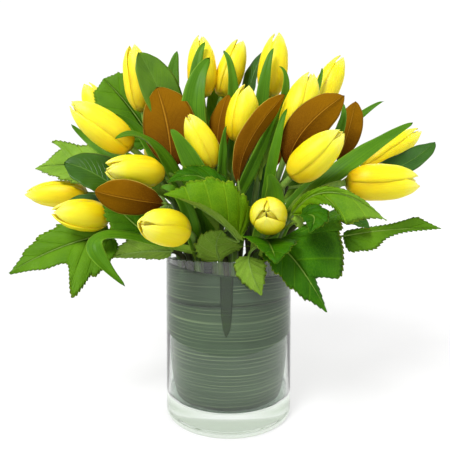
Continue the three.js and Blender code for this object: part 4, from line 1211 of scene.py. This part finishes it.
def lining_tip():
    """The pointed end of the upper leaf, which hangs down at the front over the lower one."""
    corners = np.array(LINING_TIP)
    top, point = corners[0, 1], corners[4, 1]
    side = shares(30)[:, None]
    share = shares(9)[None, :]
    height = point + (top - point) * side
    low, high = (np.interp(height, line[::-1, 1], line[::-1, 0])
                 for line in (smooth_line(corners[:5]), smooth_line(corners[:3:-1])))
    x = low + (high - low) * share
    points = np.dstack([x, -np.sqrt((CLINGING + INTO_WALL)**2 - x**2), height + 0 * x])
    body = 0.25 * thinned(share, 12) * np.minimum(1, 12 * side)
    uv = np.dstack([np.arctan2(x, 58) / (2 * np.pi) + 0.5, height / VASE_HEIGHT + 0 * x])
    return two_faced(points, body, uv, LINING_DARK, LINING_DARK)


def lining_meshes():
    """The lower leaf, the upper leaf and the upper leaf's hanging end."""
    lower_radii = [radius for _, radius in LOWER_LINING] + [CLINGING, LAPPED, LAPPED]
    return (lining_sheet(-182, 183, lower_levels, lower_radii, 4),
            lining_sheet(-363, 1, upper_levels, [CLINGING] * 2, 9), lining_tip())


# Making the pieces


def piece(name, meshes, nodes):
    """Joins the meshes into one piece that stands for the CAD nodes."""
    parts = [placed(name, mesh) for mesh in meshes]
    if len(parts) > 1:
        with bpy.context.temp_override(active_object=parts[0], selected_editable_objects=parts):
            bpy.ops.object.join()
    made = parts[0]
    made.name = name
    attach(made, "root")
    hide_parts(*nodes)


def lathe(name, profile, sides, material):
    """A closed turned shape from a profile of (radius, height) that starts and ends on the axis."""
    build = bmesh.new()
    rings = []
    for radius, height in profile:
        turns = np.linspace(0, 2 * np.pi, sides, endpoint=False) if radius > 1e-6 else [0]
        rings.append([build.verts.new((radius * MM * math.cos(a), radius * MM * math.sin(a), height * MM))
                      for a in turns])
    for low, high in zip(rings, rings[1:]):
        for i in range(sides):
            j = (i + 1) % sides
            corners = [low[i % len(low)], low[j % len(low)], high[j % len(high)], high[i % len(high)]]
            build.faces.new(list(dict.fromkeys(corners)))
    bmesh.ops.recalc_face_normals(build, faces=build.faces)
    for face in build.faces:
        face.smooth = True
    mesh = bpy.data.meshes.new(name)
    build.to_mesh(mesh)
    build.free()
    mesh.materials.append(material)
    return mesh


def rounded(corners, radii):
    """A profile whose corners are turned on small arcs."""
    line = []
    for i, (corner, radius) in enumerate(zip(np.array(corners, float), radii)):
        if not radius:
            line.append(corner)
            continue
        back = corner + unit(corners[i - 1] - corner) * radius
        on = corner + unit(corners[i + 1] - corner) * radius
        line.extend(bezier([back, corner, on], shares(6)))
    return line


def vase_mesh():
    """A heavy-bottomed cylinder with a shallow hollow under its foot."""
    inner = VASE_RADIUS - VASE_WALL
    corners = [(0, 0.6), (42, 0.6), (46, 0), (VASE_RADIUS, 0), (VASE_RADIUS, VASE_HEIGHT),
               (inner, VASE_HEIGHT), (inner, VASE_FLOOR), (0, VASE_FLOOR)]
    return lathe("vase", rounded(corners, [0, 2, 2, VASE_HEEL, 1, 1, 4, 0]), 128, GLASS)


def water_mesh():
    foot = VASE_FLOOR + GAP
    inset = LINING_THICK + GAP
    side = [(radius - inset - WATER_CLEAR, max(height, foot)) for height, radius in LOWER_LINING[:-1]]
    top = CLINGING - LINING_THICK - inset - 2 * WATER_CLEAR
    surface = [(top - inward, WATER_LEVEL - drop) for inward, drop in MENISCUS]
    return lathe("water", [(0, foot), *side, *surface, (0, surface[-1][1])], 96, WATER)


def bloom_meshes(tulip, number):
    """The petals and the heart of a flower, set on its foot and pointed at its tip."""
    foot, tip = Vector(tulip.foot), Vector(tulip.tip)
    axis = (tip - foot).normalized()
    across = (Vector((0, 0, 1)) - axis * axis.z).normalized()
    place = Matrix((across, axis.cross(across), axis)).transposed().to_4x4()
    place.translation = foot * MM
    sizes = {"Length": (tip - foot).length * MM, "Width": tulip.width * MM}
    petals = grown(BLOOM, None, {
        **sizes, "Opening": tulip.open, "Turn": math.radians(tulip.turn), "Seed": number,
    }, wall=PETAL_THICK)
    heart = grown(STAMENS, None, sizes)
    for mesh in (petals, heart):
        mesh.transform(place)
    return [petals, heart]


def stalk_run(start, corners, reach):
    """The stalk from the stem to a blade, run on under its midrib."""
    foot, control, _ = corners
    bow = foot - unit(control - foot) * 0.4 * np.linalg.norm(foot - start)
    along_stalk = bezier([start, bow, foot], shares(10))
    along_midrib = bezier(corners, np.linspace(0, reach, 18)[1:])
    radii = np.r_[np.linspace(STALK, STALK * 0.75, 10), np.linspace(STALK * 0.7, 0.25, 17)]
    return np.vstack([along_stalk, along_midrib]), radii


def lean_of(item, end):
    """The place that decides where a tulip or a sprig stands at the rim."""
    return (*item.lean, end[2]) if item.lean else end


piece("glass_vase", [vase_mesh()], ["vase"])
lower_lining, upper_lining, tip_lining = lining_meshes()
piece("lower_lining_leaf", [lower_lining], ["lining_leaf_lower"])
piece("upper_lining_leaf", [upper_lining, tip_lining], ["lining_leaf_upper"])
piece("vase_water", [water_mesh()], ["water"])

axes = [unit(np.subtract(t.tip, t.foot)) for t in TULIPS]
ends = [np.array(t.foot) - axis * GAP for t, axis in zip(TULIPS, axes)]
ends += [np.array(s.top, float) for s in SPRIGS]
radii = [TULIP_STEM[0]] * len(TULIPS) + [SPRIG_STEM[s.kind] for s in SPRIGS]
places = rim_places([lean_of(item, end) for item, end in zip(TULIPS + SPRIGS, ends)], radii)

for number, tulip in enumerate(TULIPS):
    name = tulip.name
    piece("tulip_bloom_" + name, bloom_meshes(tulip, number), ["flower_" + name])
    path = StemPath(places[number], ends[number], axes[number])
    meshes = [grown(TULIP_ROD, curve_data([path.run(*TULIP_STEM)]), {})]
    for k, leaf in enumerate(tulip.leaves):
        meshes.append(blade_mesh(TULIP_BLADE, path.above(leaf.at), leaf, {
            "Wave": 0.002, "Thickness": 0.0011, "Seed": number * 3.7 + k * 1.3}))
    piece("tulip_stem_" + name, meshes, ["stem_" + name])

for number, sprig in enumerate(SPRIGS):
    kind, name = sprig.kind, sprig.name
    place, end = places[len(TULIPS) + number], ends[len(TULIPS) + number]
    path = StemPath(place, end, unit(np.append(unit(end[:2]) * SPRIG_LEAN, 1)))
    thick = SPRIG_STEM[kind]
    meshes = [grown(BARK_ROD, curve_data([path.run(thick, thick * SPRIG_TAPER)]), {"Sides": 12})]
    runs = []
    for k, leaf in enumerate(sprig.leaves):
        corners = midrib_corners(leaf.foot, leaf.via, leaf.tip)
        runs.append(stalk_run(path.above(leaf.at * SPRIG_LAST), corners, STALK_REACH[kind]))
        if kind == "magnolia":
            meshes.append(blade_mesh(MAGNOLIA_BLADE, leaf.foot, leaf, {
                "Clasp": 0.0, "Wave": 0.0025, "Thickness": 0.0012, "Seed": number * 5.1 + k * 2.3}))
        else:
            top = VIBURNUM_YOUNG if (name, k) in YOUNG_LEAVES else VIBURNUM_TOP
            meshes += [viburnum_half(leaf, half, 10 * number + k, top) for half in (0, 1)]
    meshes.append(grown(STALK_ROD, curve_data(runs), {"Sides": 8}))
    piece(f"{kind}_sprig_{name}", meshes, [f"{kind}_{name}"])

# The floor

FLOOR_REACH = 40


def floor_mesh():
    corners = [(x * FLOOR_REACH, y * FLOOR_REACH, 0) for x, y in ((-1, -1), (1, -1), (1, 1), (-1, 1))]
    mesh = bpy.data.meshes.new("floor")
    mesh.from_pydata(corners, [], [(0, 1, 2, 3)])
    mesh.materials.append(FLOOR)
    return mesh


floor = placed("floor", floor_mesh())
